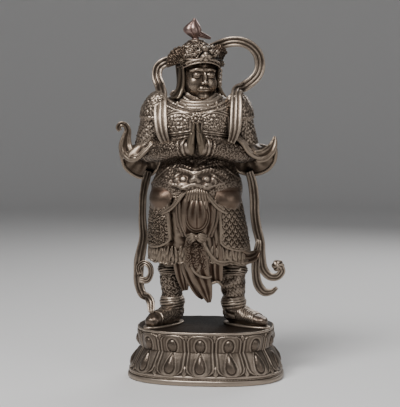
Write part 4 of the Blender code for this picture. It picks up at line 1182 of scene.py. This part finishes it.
def cape(x, z):
    """The cape's folds, which sag from shoulder to shoulder under the collar."""
    relief = 0.6 * scrolls(x, z, 6.4, 43) * over(z - 289, 1) * over(303 - z, 2)
    for drop, wide, thick in ((300, 27, 1.5), (295, 33, 1.2), (290.5, 42, 1.3)):
        line = drop + 15 * (np.abs(x) / wide) ** 1.8
        relief += 1.5 * ridge(z - line, thick) - 0.6 * ridge(z - line + 2.6, 1.1)
    return relief


def chest_panel(x, z, side):
    """One of the two panels, arched at its top, with a raised border and scrolls."""
    u = (x * side - 24.5) / 18
    top, bottom = 288 - 6 * u**2, 259.5 - 2.2 * u
    edge = np.minimum(np.minimum(top - z, z - bottom), (1 - np.abs(u)) * 18)
    relief = over(edge, 0.3) * (0.9 + 1.0 * ridge(edge - 1.1, 0.9) - 0.5 * ridge(edge - 2.8, 0.7))
    relief += over(edge - 3.2, 0.4) * (0.9 * scrolls(x, z, 5.8, 41 + side) + 0.6)
    relief += over(1.1 - np.abs(u), 0.05) * 1.2 * ridge(z - top - 2.4, 0.9)
    relief += over(1.05 - np.abs(u), 0.04) * 1.4 * ridge(z - bottom + 1.6, 0.9)
    return relief * (x * side > 3)


def belts(x, z):
    """The belt under the panels, the cord and low relief at the flanks, and the rope edge above."""
    side = np.abs(x)
    belt = 258.5 + 4.5 * np.exp(-((x / 20) ** 2)) - 0.05 * side
    relief = 1.0 * ridge(z - belt + 5.5, 1.0)
    relief += over(belt - 2 - z, 0.6) * over(z - 222, 2) * (0.6 * scrolls(x, z, 7, 47) + 0.4)
    flank = over(side - 37, 2) * over(220 - z, 2)
    relief += flank * (0.3 * scrolls(x, z, 8.5, 49) + 1.3 * ridge(z - 216 + 0.9 * (side - 36), 1.3))
    rope = 281 + 0.034 * np.clip(side - 6, 0, 99) ** 1.6
    return relief + over(side - 7, 1) * 1.5 * ridge(z - rope - 5, 1.3)


def trunk_back(x, z):
    """A plainer back, with a yoke, a belt and folds."""
    relief = 1.2 * ridge(z - 262 - 0.004 * x**2, 1.4) + 1.0 * ridge(z - 222, 1.4)
    return relief + 0.6 * np.cos(x * 0.35) * over(218 - z, 3)


def trunk():
    """The armoured trunk: cape folds, panels, belts and the beast's mask, as one relief."""
    turn = turns(288)[None, :]
    height = np.linspace(166, 315, 152)[:, None]
    rings = body_point(TRUNK, height + 0 * turn, turn + 0 * height)
    x, z = rings[..., 0] - MIDDLE, rings[..., 2]
    relief = cape(x, z) + chest_panel(x, z, -1) + chest_panel(x, z, 1) + belts(x, z) + beast_mask(x, z)
    relief = np.where(rings[..., 1] < 0, relief, trunk_back(x, z))
    rings = emboss(rings, relief + 0.2 * wobble(rings, 12, 4))
    # Below the chest the trunk takes the darker, less worn tone: partly its own, partly painted shade
    # under the top light.
    belly = 0.55 * over(232 - height + 0 * turn, 4)
    return loft(rings, ruddy=np.append(belly.ravel(), (0.55, 0)))


MASK_MIDDLE = 202.0  # the height of the mask's middle


def beast_mask(x, z):
    """The lion-like mask that bites the sash on the belly."""
    v, side = z - MASK_MIDDLE, np.abs(x)
    out = np.hypot(x / 27, (v + 2) / 17) - 1
    turn = np.arctan2(v + 2, side)
    curls = np.abs(np.cos(5.5 * turn + 2.6 * out + 0.4)) ** 0.7
    mane = 1.9 * curls * (1.1 - out) + 0.6 * scrolls(x, v, 6.2, 61)
    total = mane * over(out, 0.03) * over(0.62 - out, 0.04)
    # the dome of the face and the nose
    total += 4.6 * np.sqrt(np.clip(1 - (x / 29) ** 2 - ((v + 2) / 18.5) ** 2, 0, 1))
    total += 4.4 * ridge(x, 4.6) * over(v + 6, 1) * over(9 - v, 2.5)
    total += 2.8 * ridge(side - 4.8, 2.6) * ridge(v + 5.5, 2.3)
    total += 1.2 * np.abs(np.sin(v * 0.9)) * ridge(x, 3.0) * over(v + 1, 1) * over(10 - v, 2)
    # the brows, with tufts above them
    line = 1.6 + 0.6 * side - 0.011 * side**2
    brow = (4.0 + 0.9 * np.sin(side * 1.7 - 0.8 * v)) * ridge(v - line, 2.6)
    tuft = (1.6 + 0.8 * np.sin(side * 1.3 + v)) * ridge(v - line - 6, 2.0)
    total += brow * over(side - 3, 0.8) * over(25 - side, 2)
    total += tuft * over(side - 2, 1) * over(27 - side, 2)
    # the eyes in their sockets
    total += 4.4 * np.sqrt(np.clip(1 - ((side - 15.5) / 4.6) ** 2 - ((v + 2.6) / 3.5) ** 2, 0, 1))
    total -= 1.0 * ridge(np.hypot(side - 15.0, v + 3.0), 1.3)
    total -= 2.4 * ridge(side - 15.5, 6.0) * ridge(v + 1.6, 3.6)
    # the cheeks, the lip, the teeth and the jaw
    total += 2.2 * ridge(side - 18, 5.5) * ridge(v + 10.5, 2.6)
    total += 1.8 * ridge(side - 24.5, 3.2) * ridge(v + 2, 4.0)
    total += 2.4 * ridge(v + 9.8 + 0.016 * side**2, 1.7) * over(19 - side, 1.5)
    total += 1.2 * np.abs(np.sin(x * 0.6)) ** 0.6 * ridge(v + 13.4, 1.6) * over(14 - side, 1)
    total += 2.0 * ridge(v + 15.5 - 0.3 * (side - 10), 1.5) * over(side - 9, 1) * over(38 - side, 2)
    total -= 1.6 * ridge(v - 2.0 + 0.62 * (side - 20), 1.2) * over(side - 18, 1) * over(30 - side, 1)
    return total + 0.16 * scrolls(x, v, 5.0, 62) * over(-out, 0.05)


def on_chest(x, level, z, proud):
    """A point at z that stands proud of the chest's front, as far out as the chest is at the level."""
    return x, front_of(TRUNK, x, level) - proud, z


def chest_details():
    """The rolled collar, the medallion and the tassels at the cape's edge."""
    turn = turns(130)
    for grow, drop, thick in ((-2.0, 2.2, 2.9), (0.4, -1.6, 3.0), (1.4, -5.4, 2.6)):
        ring = np.stack([np.cos(turn), np.sin(turn), np.sin(turn) * 0.36], 1)
        ring = ring * (30 + grow, 25 + grow, 25) + (-10, -4, 307 + drop)
        yield tube(ring, thick, 12, closed=True)
    yield ball(on_chest(MIDDLE, 278, 279, 1.5), (8.6, 3.2, 8.6), around=54, stations=20,
               relief=lobes(9, 0.12, cap=0.95))
    for side in (-1, 1):
        for x, z in ((15, 295), (26, 298)):
            place = on_chest(MIDDLE + side * x, z, z, 1.2)
            yield ball(place, (2.1, 2.2, 4.4), around=24, stations=14)


def flower(petals):
    yield ball((0, 0, 0.5), (0.36, 0.36, 0.4), around=12, stations=5)
    for turn in turns(petals):
        place = (0.66 * math.cos(turn), 0.66 * math.sin(turn), 0.2)
        yield ball(place, (0.27, 0.27, 0.26), around=8, stations=4)


def chest_flowers():
    """Where the flowers sit on and beside the medallion, with their sizes."""
    for x, level, z, proud, size in ((0, 278, 279, 3.6, 7.4), (0, 296, 293, 2.6, 3.2),
                                     (-13, 270, 268, 1.5, 3.0), (13, 270, 268, 1.5, 3.0)):
        at = (MIDDLE + x, front_of(TRUNK, MIDDLE, level) - proud, z)
        yield at, (0, -1, 0), (0, 0, 1), size


cast("trunk_armour", [trunk()], PALE_LIT_BRONZE)
cast("chest_details", chest_details(), PALE_LIT_BRONZE)
ornaments("medallion_flowers", list(flower(8)), list(chest_flowers()), FIGURE_BRONZE)


# The arms, hands and sleeves

def upper_arms():
    """The scaled sleeves of armour, with a wider guard over each shoulder."""
    for rows in ARMS.values():
        rings = sweep(rows, round_section(104), step=1.0)
        across, along = skin_lengths(rings)
        relief = 1.5 * scales(across, along, 5.4, 4.4) + 0.5 * wobble(rings, 5, 12)
        yield loft(emboss(rings, relief))
        guard = [(x, y, z + 1.5, wide + 1.4, deep + 3) for x, y, z, wide, deep in rows[:3]]
        guard.append((*rows[2][:2], 278, rows[2][3] + 2.2, 22.5))
        rings = sweep(guard, round_section(132), step=0.9)
        across, along = skin_lengths(rings)
        lower = along / along[-1:]
        relief = 1.6 * scales(across, along, 6.2, 5.0) + 0.5 * wobble(rings, 6, 14)
        relief += 1.0 * ridge(lower - 0.93, 0.03) - 1.2 * over(lower - 0.975, 0.005)
        rings = emboss(rings, relief)
        rings[-3:, :, 2] -= 2.4 * np.sin(turns(132) * 9) ** 2
        yield loft(rings)


def forearms():
    for side, rows in FOREARMS.items():
        rings = sweep(rows, round_section(104), facing=(0, 0, 1), step=0.95)
        across, along = skin_lengths(rings)
        share = along / along[-1:]
        z = rings[..., 2]
        upper = 0.4 + 0.6 * over(z - z.mean(1, keepdims=True) + 3, 1.5)
        relief = 0.7 * scrolls(across, along, 8.4, 71 if side == "left" else 72) * upper
        relief = relief * over(share - 0.2, 0.02) * over(0.86 - share, 0.01)
        for place, height, wide in ((0.88, 1.5, 0.013), (0.82, 1.0, 0.01), (0.2, 1.3, 0.012)):
            relief += height * ridge(share - place, wide)
        yield loft(emboss(rings, relief), ruddy=0.5)
    # a cuff at each wrist
    turn = turns(64)
    for side in (-1, 1):
        lean = side * 0.5
        flat = 9.2 * np.cos(turn)
        ring = np.stack([-flat * math.sin(lean), flat * math.cos(lean), 9.6 * np.sin(turn)], 1)
        yield tube(ring + (MIDDLE + 2.4 + side * 13.4, -53, 243), 1.7, 12, closed=True)


def hands():
    """Two palms pressed together, with their fingers and thumbs."""
    for side in (-1, 1):
        palm = ((-6.8 + side * 8, -50, 236, 6, 8), (-6.6 + side * 6.8, -55, 246, 6.4, 9.5),
                (-6.3 + side * 5.2, -60, 257, 5, 8.5), (-6.1 + side * 3.9, -64, 263, 3.6, 7))
        yield strip(palm, round_section(48, 2.4), seed=4, uneven=0.2, step=0.8)
        for finger in range(4):
            y = -54.5 - 3.6 * finger
            tip = 276 - 1.6 * abs(finger - 1.6)
            rows = ((-6.3 + side * 4.6, y + 3.5, 254, 2.6, 2.3),
                    (-6.2 + side * 3.7, y - 1.6, 262, 2.3, 2.1),
                    (-6.1 + side * 2.9, y - 5, 268.5, 2.1, 2.0),
                    (-6 + side * 2.2, y - 7.4, tip, 1.3, 1.3))
            yield strip(rows, round_section(18), seed=5, uneven=0.1, step=0.75)
        rows = ((-6.6 + side * 5.5, -61, 244, 2.9, 2.9), (-6.4 + side * 4.4, -66.5, 250, 2.6, 2.6),
                (-6.2 + side * 3.2, -69.5, 258, 2.3, 2.3),
                (-6.1 + side * 2.5, -70.5, 264, 1.4, 1.4))
        yield strip(rows, round_section(20), seed=6, uneven=0.1, step=0.75)


def mouth_ring(points, count):
    """An even ring through the points of a sleeve's mouth."""
    dense, half = 960, 480
    points = np.array(points, float)
    loop = spline(np.vstack([points[-2:], points, points[:2]]), dense)
    near = np.linalg.norm(loop - points[0], axis=1)
    start, end = int(np.argmin(near[:half])), half + int(np.argmin(near[half:]))
    at = np.linspace(start, end, count + 1)[:-1]
    return np.stack([np.interp(at, np.arange(dense), column) for column in loop.T], axis=1)


def sleeve(side, points):
    """A sleeve as a closed cup: its outside from the arm to the mouth, and its inside up to the arm."""
    turn = turns(136)
    mouth = mouth_ring(points, 136)
    middle = mouth.mean(0)
    start = 18 if side == "right" else -18
    cuff = np.stack([start * np.cos(turn), -19 * np.sin(turn), 0 * turn - 7], 1) + ARMS[side][4][:3]
    share = np.linspace(0, 1, 34)
    outer = np.array([cuff * (1 - t) + mouth * t + (0, 0, 3 * (1 - t) + 1.5 * math.sin(math.pi * t))
                      for t in share])
    t = share[:, None]
    folds = t * (1.9 * np.sin(6 * turn + 2.2 * t) + 0.6 * np.sin(13 * turn - 3 * t))
    outer = emboss(outer, folds + 0.3 * wobble(outer, 12, 15))
    arm = np.array(FOREARMS[side][1][:3])
    inner = []
    for t in np.linspace(0.03, 1, 22):
        ring = mouth * (1 - 0.16 * t) + middle * 0.16 * t
        ring = ring * (1 - 0.45 * t**2) + arm * 0.45 * t**2 + (0, 0, 3 * t)
        ring[:, 2] += 0.5 * np.sin(13 * turn) * t
        inner.append(ring)
    yield loft(np.concatenate([outer, inner]))
    for shrink, back, drop, thick, around in ((1, 0, 0, 2.7, 12), (0.93, 1.5, 3.8, 1.9, 10),
                                              (0.85, 3.0, 6.8, 1.5, 8)):
        roll = middle + (mouth - middle) * shrink + (0, back, drop)
        yield tube(roll, thick, around, closed=True)


def sleeves():
    for side, points in SLEEVES.items():
        yield from sleeve(side, points)
    yield strip(SLEEVE_CURL, band_section(1, 0.2, 26, 0.1), seed=16, step=0.8)
    yield strip(SLEEVE_TIP, band_section(1, 0.2, 26, 0.1), seed=17, step=0.8)


cast("upper_arms", upper_arms(), PALE_LIT_BRONZE)
cast("forearms", forearms(), FIGURE_BRONZE)
cast("hands", hands(), SHADED_BRONZE)
cast("sleeves", sleeves(), CLOTH_DARK_AND_SHADED)


# The scarf

def scarf():
    for seed, rows in enumerate(SCARF.values()):
        yield strip(rows, band_section(2, 0.17, 26, 0.12), seed=20 + seed, uneven=0.5, step=1.3)


END_KNOT = lobes(6, 0.07, twist=3, cap=0.96)

cast("scarf", scarf(), FIGURE_BRONZE)
cast("scarf_knot", [ball((98, -6, 82), (8.2, 6.4, 7.8), around=56, stations=26, relief=END_KNOT),
                    ball((98, -11.5, 82), (3.0, 2.4, 3.0), around=30, stations=16)], FIGURE_BRONZE)


# The head and the helmet

def ellipsoid(points, centre, radii):
    """Roughly how far points lie outside an ellipsoid, less than 0 inside it."""
    q = (points - centre) / radii
    near, slope = np.linalg.norm(q, axis=-1), np.linalg.norm(q / radii, axis=-1)
    return near * (near - 1) / np.maximum(slope, 1e-9)


def blend(a, b, soft):
    """The union of two fields, rounded where they meet."""
    share = np.clip(0.5 + 0.5 * (b - a) / soft, 0, 1)
    return b * (1 - share) + a * share - soft * share * (1 - share)


def carve(shape, tool, soft):
    """A field with another one cut out of it."""
    return -blend(-shape, tool, soft)


def turned(points):
    """Points of the head's own frame, turned with the head and set on the neck."""
    c, s = math.cos(HEAD_TURN), math.sin(HEAD_TURN)
    x, y, z = np.moveaxis(np.asarray(points, float) * HEAD_SIZE, -1, 0)
    return np.stack([x * c - y * s, x * s + y * c, z], axis=-1) + HEAD_AT


# How each form joins the head, its centre, its radii and how softly it joins
HEAD_FORMS = (
    (blend, (0, -5, -9), (18.5, 18, 19.5), 6), (blend, (9, -13, -7), (9, 8.5, 10), 4),
    (blend, (0, -18, -22), (7, 6, 6), 4), (blend, (4.2, -20.3, 9.9), (2.8, 1.8, 1.0), 3.4),
    (blend, (8.8, -19.1, 10.2), (3.6, 2.1, 1.0), 3.4),
    (blend, (13.2, -15.8, 8.8), (3.0, 2.1, 1.0), 3.4),
    (blend, (0, -23.4, -1), (2.5, 3.8, 8.6), 3.2), (blend, (0, -26.0, -5.6), (2.7, 3.0, 2.4), 1.8),
    (blend, (3.1, -24.4, -6.4), (1.9, 2.4, 2.0), 0.9),
    (carve, (1.9, -26.4, -8.4), (0.9, 1.5, 1.0), 0.5),
    (blend, (0, -21.4, -13.2), (7.4, 3.2, 3.8), 2.6),
    (carve, (0, -27.2, -9.9), (1.2, 2.6, 1.5), 0.8),
    (blend, (2.2, -23.3, -12.2), (3.3, 1.6, 1.0), 1.0),
    (blend, (0, -23.0, -14.7), (4.2, 1.8, 1.25), 1.0),
    (carve, (0, -26.0, -13.4), (5.6, 3.0, 0.3), 0.45),
    (carve, (6.8, -23.6, -13.3), (0.9, 1.3, 0.6), 1.2),
    (carve, (8.3, -27, 3.4), (6.2, 6, 3.4), 1.6), (blend, (8.1, -18.8, 2.9), (4.7, 4.3, 3.3), 0.6),
)


def head_shape(points):
    """The head as a field that is negative inside: a calm, even face that looks along -Y."""
    points = np.concatenate([np.abs(points[..., :1]), points[..., 1:]], axis=-1)
    shape = ellipsoid(points, (0, 1.75, 8), (22, 22.75, 26))
    for join, centre, radii, soft in HEAD_FORMS:
        shape = join(shape, ellipsoid(points, centre, radii), soft)
    upper = ellipsoid(points, (8.1, -18.9, 3.9), (5.6, 4.75, 3.0))
    lower = ellipsoid(points, (8.1, -18.6, 1.5), (5.3, 4.5, 2.2))
    gap = ellipsoid(points, (8.1, -23.6, 2.2), (4.5, 3.2, 0.7))
    return blend(shape, carve(np.minimum(upper, lower), gap, 0.35), 0.8)


def face_rays(around, stations, focus=0.62):
    """Directions from the head's middle, closer together towards its face."""
    turn = turns(around)[None, :]
    return directions(rises(stations), FRONT + turn - focus * np.sin(turn))


def cast_out(shape, rays, reach=60.0):
    """Where rays from the middle of a field leave it, found by halving."""
    low, high = np.zeros(rays.shape[:2]), np.full(rays.shape[:2], reach)
    for _ in range(17):
        middle = (low + high) / 2
        inside = shape(rays * middle[..., None]) < 0
        low, high = np.where(inside, middle, low), np.where(inside, high, middle)
    return rays * low[..., None]


def head():
    yield loft(turned(cast_out(head_shape, face_rays(156, 138))))
    neck = ((-11.5, 3, 300, 14, 14), (-11.5, 3, 318, 13, 13))
    yield strip(neck, round_section(40), uneven=0.0, step=1.5)
    for side in (-1, 1):
        ear = [(side * x, *rest) for x, *rest in EAR]
        yield loft(turned(sweep(ear, round_section(20), step=0.8)))


EAR = ((20.5, -1, 7, 2.6, 2.4), (22, -1.5, 1, 2.9, 3.4), (21.5, -2.5, -6, 2.4, 2.6),
       (20.0, -3.5, -13, 2.2, 2.3), (18.6, -4.2, -18, 1.6, 1.6))
CROWN = (CROWN_TOP - HEAD_AT[2]) / HEAD_SIZE  # the helmet's top, in the head's own frame
CROWN_LEAN = 3.0
BROW_RISE = 9.0


def helmet():
    """The dome, its band low over the brow and its scrolled field between two rolls."""
    stations = 66
    table = np.array(((26, 12, 27), (26.5, 19, 27.5), (25, 27, 26), (21, 34, 22), (15, 40, 16),
                      (9, CROWN - 1.5, 9), (7, CROWN, 7)), float)
    path = spline(table, stations)
    turn = FRONT + turns(230)[None, :]
    a, z, b = (path[:, i:i + 1] for i in range(3))
    x = a * np.cos(turn) - CROWN_LEAN * (z - 12) / (CROWN - 12)
    rings = np.stack(np.broadcast_arrays(x, 2 + b * np.sin(turn), z), -1)
    low = np.clip((21 - z) / 8, 0, 1)
    rings[..., 2] += low * BROW_RISE * np.clip(np.cos(turn - FRONT), 0, 1) ** 1.5
    share = np.linspace(0, 1, stations)[:, None]
    across, along = (turn - FRONT) * 24, share * 48
    field = over(share - 0.22, 0.02) * over(0.88 - share, 0.02)
    relief = 1.1 * scrolls(across, along, 16.0, 81, 0.66) + 0.25 * scrolls(across, along, 6.0, 82)
    relief = relief * field + 1.2 * ridge(share - 0.03, 0.02) + 1.2 * ridge(share - 0.2, 0.018)
    relief += 1.0 * ridge(share - 0.93, 0.02)
    yield loft(turned(emboss(rings, relief)), ruddy=0.4)


def neck_guard():
    """The ribbed guard behind the neck, open at the face."""
    guard = ((27, 27, 16, 3), (25.8, 26.6, 2, 3), (26.8, 27.8, -10, 3.5), (31, 31, -19, 3.5),
             (35.5, 34, -24, 3))
    path = spline(guard, 44)
    start, end = -0.52, math.pi + 0.52
    swing = np.linspace(start, end, 112)[None, :]
    a, b, z, thick = (path[:, i:i + 1] for i in range(4))
    edge = np.minimum(swing - start, end - swing) * a
    relief = 0.7 * np.cos(8 * swing + 0.07 * z) + 0.5 * np.cos(19 * swing - 0.1 * z)
    relief = relief + 1.2 * ridge(edge - 1.6, 1.5)

    def wall(inset):
        x, y = (a - inset) * np.cos(swing), 2 + (b - inset) * np.sin(swing)
        return np.stack(np.broadcast_arrays(x, y, z), -1)

    yield slab(turned(wall(-relief)), turned(wall(thick)))


# For each flap: its rosette's place, its reach, the middle and half width of its spread in degrees,
# how far it runs out and back along its ribs, how its curve leans, and the way it faces
FLAPS = {
    -1: ((-24.5, -12.5, 18.0), 19.5, 118, 78, 0.86, -0.35, 0.0, (0.2, 1.0), (-0.35, -1.0, 0.0)),
    1: ((23.0, -11.0, 16.0), 25.0, 78, 42, 0.55, 0.0, 0.5, (0.35, 0.3), (0.3, -1.0, 0.0)),
}


def fan(side):
    """A helmet flap: ribs with curls among them, from a rosette at the temple to a scalloped edge."""
    centre, reach, middle, spread, wide, slant, away, curve, towards = FLAPS[side]
    s = np.linspace(-1, 1, 84)[None, :]
    t = np.linspace(0.06, 1, 34)[:, None]
    at = math.radians(middle) + s * math.radians(spread)
    length = reach * t * (1 + 0.05 * np.abs(np.cos(4.5 * np.pi * s)))
    flat_x, flat_z = length * np.cos(at), length * np.sin(at)
    back = 0.012 * length**2
    face = centre + np.stack([flat_x * wide + back * curve[0],
                              flat_x * slant + length * away + back * curve[1], flat_z], -1)
    rib = np.abs(np.sin(4.5 * np.pi * s + np.pi / 2)) ** 0.7
    lift = 1.1 * rib * np.clip(t * 2, 0, 1) + 1.2 * ridge(t - 0.96, 0.04)
    lift += 0.9 * scrolls(flat_x, flat_z, 6.5, 71) * over(0.9 - t, 0.03)
    towards = unit(np.array(towards))
    yield slab(turned(face + towards * lift[..., None]), turned(face - towards * 2.2), ruddy=0.8)
    knob = centre + towards * 2.0 + (side * 0.6, 0, 1.5)
    yield ball(turned(knob), (4.6, 4.6, 4.6), around=50, stations=26, relief=lobes(7, 0.12))


# Place and size of the curls over one side of the brow
BROW_CURLS = ((7.5, -24.5, 31, 3.6), (12.5, -22.0, 27.5, 3.2), (16.5, -18.5, 31, 3.4),
              (10.0, -20.5, 37, 3.0))
NECK_BOW = (((-24, 2, -19, 1.8, 1.6), (-30, 2, -17, 3.4, 1.8), (-35, 4, -20, 1.4, 1.4)),
            ((-24, 2, -20, 1.8, 1.6), (-30, 1, -24, 3.0, 1.8), (-35, 2, -29, 1.2, 1.2)))


def brow_ornaments():
    """The jewel and curls over the brow, the brow's rolls, the cheek's locks and the tie's bow."""
    yield ball(turned((0, -27.2, 25)), (6.6, 3.2, 6.2), around=48, stations=20, relief=lobes(4, 0.1))
    yield ball(turned((0, -29.6, 25)), (2.6, 2.0, 2.8), around=22, stations=12, ruddy=0.5)
    yield ball(turned((0, -23.5, 34.5)), (5.4, 4.2, 4.6), around=30, stations=16, ruddy=0.6)
    for side in (-1, 1):
        for x, y, z, size in BROW_CURLS:
            yield ball(turned((side * x, y, z)), (size, size * 0.7, size * 0.9), around=20, stations=9,
                       relief=lobes(5, 0.2))
    swing = np.linspace(-1.15, 1.15, 120)
    turn = FRONT + swing
    for z, r, thick in ((13.2, 27.2, 1.5), (9.6, 26.4, 1.2)):
        line = np.stack([r * np.cos(turn), 2 + (r + 0.8) * np.sin(turn),
                         z + BROW_RISE * np.cos(swing) ** 1.5], 1)
        yield tube(turned(line), thick, 10)
    for n in range(5):
        z = 12 - 5.2 * n
        lock = ((23.4, -11, z), (25.2, -11, z - 3), (23.4, -11.6, z - 6.4), (21.8, -12, z - 5.4))
        yield tube(turned(spline(lock, 24) + (0, 0.6 * n, 0)), 1.25, 8)
    for rows in NECK_BOW:
        yield loft(turned(sweep(rows, band_section(1, 0.3, 24), step=0.5)))


def brow_places():
    """Where the small flowers sit along the brow."""
    found = []
    for swing in np.linspace(-1.05, 1.05, 11):
        c, s = math.cos(FRONT + swing), math.sin(FRONT + swing)
        z = 11.6 + BROW_RISE * math.cos(swing) ** 1.5
        outward = turned((60 * c, 60 * s, z)) - turned((0, 0, z))
        found.append((turned((27.4 * c, 2 + 28.0 * s, z)), outward, (0, 0, 1), 1.7))
    return found


cast("head", head(), FACE_BRONZE)
cast("helmet_dome", helmet(), FIGURE_BRONZE)
cast("helmet_neck_guard", neck_guard(), SHADED_BRONZE)
cast("helmet_flaps", [form for side in (-1, 1) for form in fan(side)], SHADED_BRONZE)
cast("helmet_brow", brow_ornaments(), FIGURE_BRONZE)
ornaments("helmet_brow_flowers", list(flower(6)), brow_places(), FIGURE_BRONZE)


# The plume

# Sideways lean, share of the height, half width and half depth, from the foot to the tip
FLAME = ((0.0, 0.0, 5.2, 5.2), (-0.5, 0.07, 4.6, 4.6), (-2.0, 0.16, 6.5, 6),
         (-3.5, 0.32, 10.5, 8.5),
         (-4.2, 0.48, 11.5, 9), (-3.6, 0.64, 9.5, 7.5), (-2.4, 0.8, 5.6, 5), (-1.6, 0.9, 3.0, 3.0),
         (-1.6, 1.0, 1.6, 1.6))
PLUME_TAIL = ((-14, 4, 9.7, 6, 5), (-8, 4, 6.8, 4.2, 4), (-1, 4, 4.0, 3.2, 3.2),
              (6, 4, 1.2, 1.6, 1.8))


def plume():
    """The flame with its twisted tongues, and the tail that blows to its left."""
    path = spline(np.array(FLAME) * (1, PLUME_HIGH, 1, 1), 56)
    turn = turns(110)[None, :]
    lean, rise, wide, deep = (path[:, i:i + 1] for i in range(4))
    share = rise / PLUME_HIGH
    flame = np.abs(np.cos(3.5 * turn + 2.4 * share)) ** 0.7
    grow = 1 + (0.16 * flame - 0.06) * np.sin(np.pi * np.clip(share, 0, 1)) ** 0.6
    x, y = -14.5 + lean + wide * np.cos(turn) * grow, 4 + deep * np.sin(turn) * grow
    yield loft(np.stack(np.broadcast_arrays(x, y, PLUME_FOOT + rise), -1), ruddy=0.5)
    tail = np.array(PLUME_TAIL) + (0, 0, PLUME_FOOT, 0, 0)
    yield strip(tail, band_section(3, 0.3, 30), seed=30, step=0.7, ruddy=0.5, uneven=0.1)


cast("helmet_plume_flame", plume(), PLUME_BRONZE, "helmet_plume")


# Floor, light and camera

FLOOR_AROUND = 72
FLOOR_DROP = 0.0005  # the floor lies this far under the base, in metres
BEND_START, BEND_RADIUS, WALL_TOP = 3.0, 1.2, 1.8


def floor_mesh():
    """A round floor that bends up into a wall, in metres."""
    rings = [(r, -FLOOR_DROP) for r in (1.0, 2.0, BEND_START)]
    for t in np.linspace(0.08, math.pi / 2, 16):
        out, rise = BEND_RADIUS * math.sin(t), BEND_RADIUS * (1 - math.cos(t))
        rings.append((BEND_START + out, rise - FLOOR_DROP))
    rings += [(BEND_START + BEND_RADIUS, WALL_TOP)]
    corners = [(0, 0, -FLOOR_DROP)]
    corners += [(r * math.cos(t), r * math.sin(t), z) for r, z in rings for t in turns(FLOOR_AROUND)]
    faces = []
    for n in range(FLOOR_AROUND):
        a, b = 1 + n, 1 + (n + 1) % FLOOR_AROUND
        faces.append((0, a, b))
        for ring in range(len(rings) - 1):
            inner = ring * FLOOR_AROUND
            outer = inner + FLOOR_AROUND
            faces.append((a + inner, a + outer, b + outer, b + inner))
    mesh = bpy.data.meshes.new("floor")
    mesh.from_pydata(corners, [], faces)
    mesh.shade_smooth()
    return mesh


def stage():
    floor = bpy.data.objects.new("floor", floor_mesh())
    bpy.context.scene.collection.objects.link(floor)
    pale = bpy.data.materials.new("pale_floor")
    pale.use_nodes = True
    shader = pale.node_tree.nodes["Principled BSDF"]
    shader.inputs["Base Color"].default_value = (0.76, 0.75, 0.74, 1)
    shader.inputs["Roughness"].default_value = 0.75
    floor.data.materials.append(pale)
    world = bpy.data.worlds.new("studio")
    world.use_nodes = True
    sky = world.node_tree.nodes["Background"]
    sky.inputs["Color"].default_value = (0.86, 0.88, 0.92, 1)
    sky.inputs["Strength"].default_value = 0.12
    bpy.context.scene.world = world


def look_at(holder, place, aim):
    """Sets a lamp or camera at a place, turned towards its aim, and puts it in the scene."""
    holder.location = place
    holder.rotation_euler = (Vector(aim) - Vector(place)).to_track_quat("-Z", "Y").to_euler()
    bpy.context.scene.collection.objects.link(holder)


def light(name, place, aim, size, watts):
    lamp = bpy.data.lights.new(name, "AREA")
    lamp.shape = "RECTANGLE"
    lamp.size, lamp.size_y = size
    lamp.energy = watts
    look_at(bpy.data.objects.new(name, lamp), place, aim)


# In metres. The view is VIEW_WIDTH wide at the object
VIEW_SWING = math.radians(6)
VIEW_DISTANCE, VIEW_HEIGHT, VIEW_WIDTH = 1.7, 0.36, 0.54945
AIM_LEFT, AIM_HEIGHT = 0.0081, 0.2338
SENSOR = 36


def camera():
    lens = bpy.data.cameras.new("camera")
    lens.sensor_width = SENSOR
    lens.lens = SENSOR * VIEW_DISTANCE / VIEW_WIDTH
    holder = bpy.data.objects.new("camera", lens)
    c, s = math.cos(VIEW_SWING), math.sin(VIEW_SWING)
    look_at(holder, (s * VIEW_DISTANCE, -c * VIEW_DISTANCE, VIEW_HEIGHT),
            (-AIM_LEFT * c, -AIM_LEFT * s, AIM_HEIGHT))
    bpy.context.scene.camera = holder


stage()
light("key", (-0.45, -1.0, 1.6), (0, 0, 0.3), (0.7, 0.6), 37)
light("fill", (1.3, -1.0, 0.8), (0, 0, 0.25), (0.7, 0.9), 4.5)
light("rim", (0.5, 1.4, 1.2), (0, 0, 0.3), (1.0, 0.8), 12)
camera()
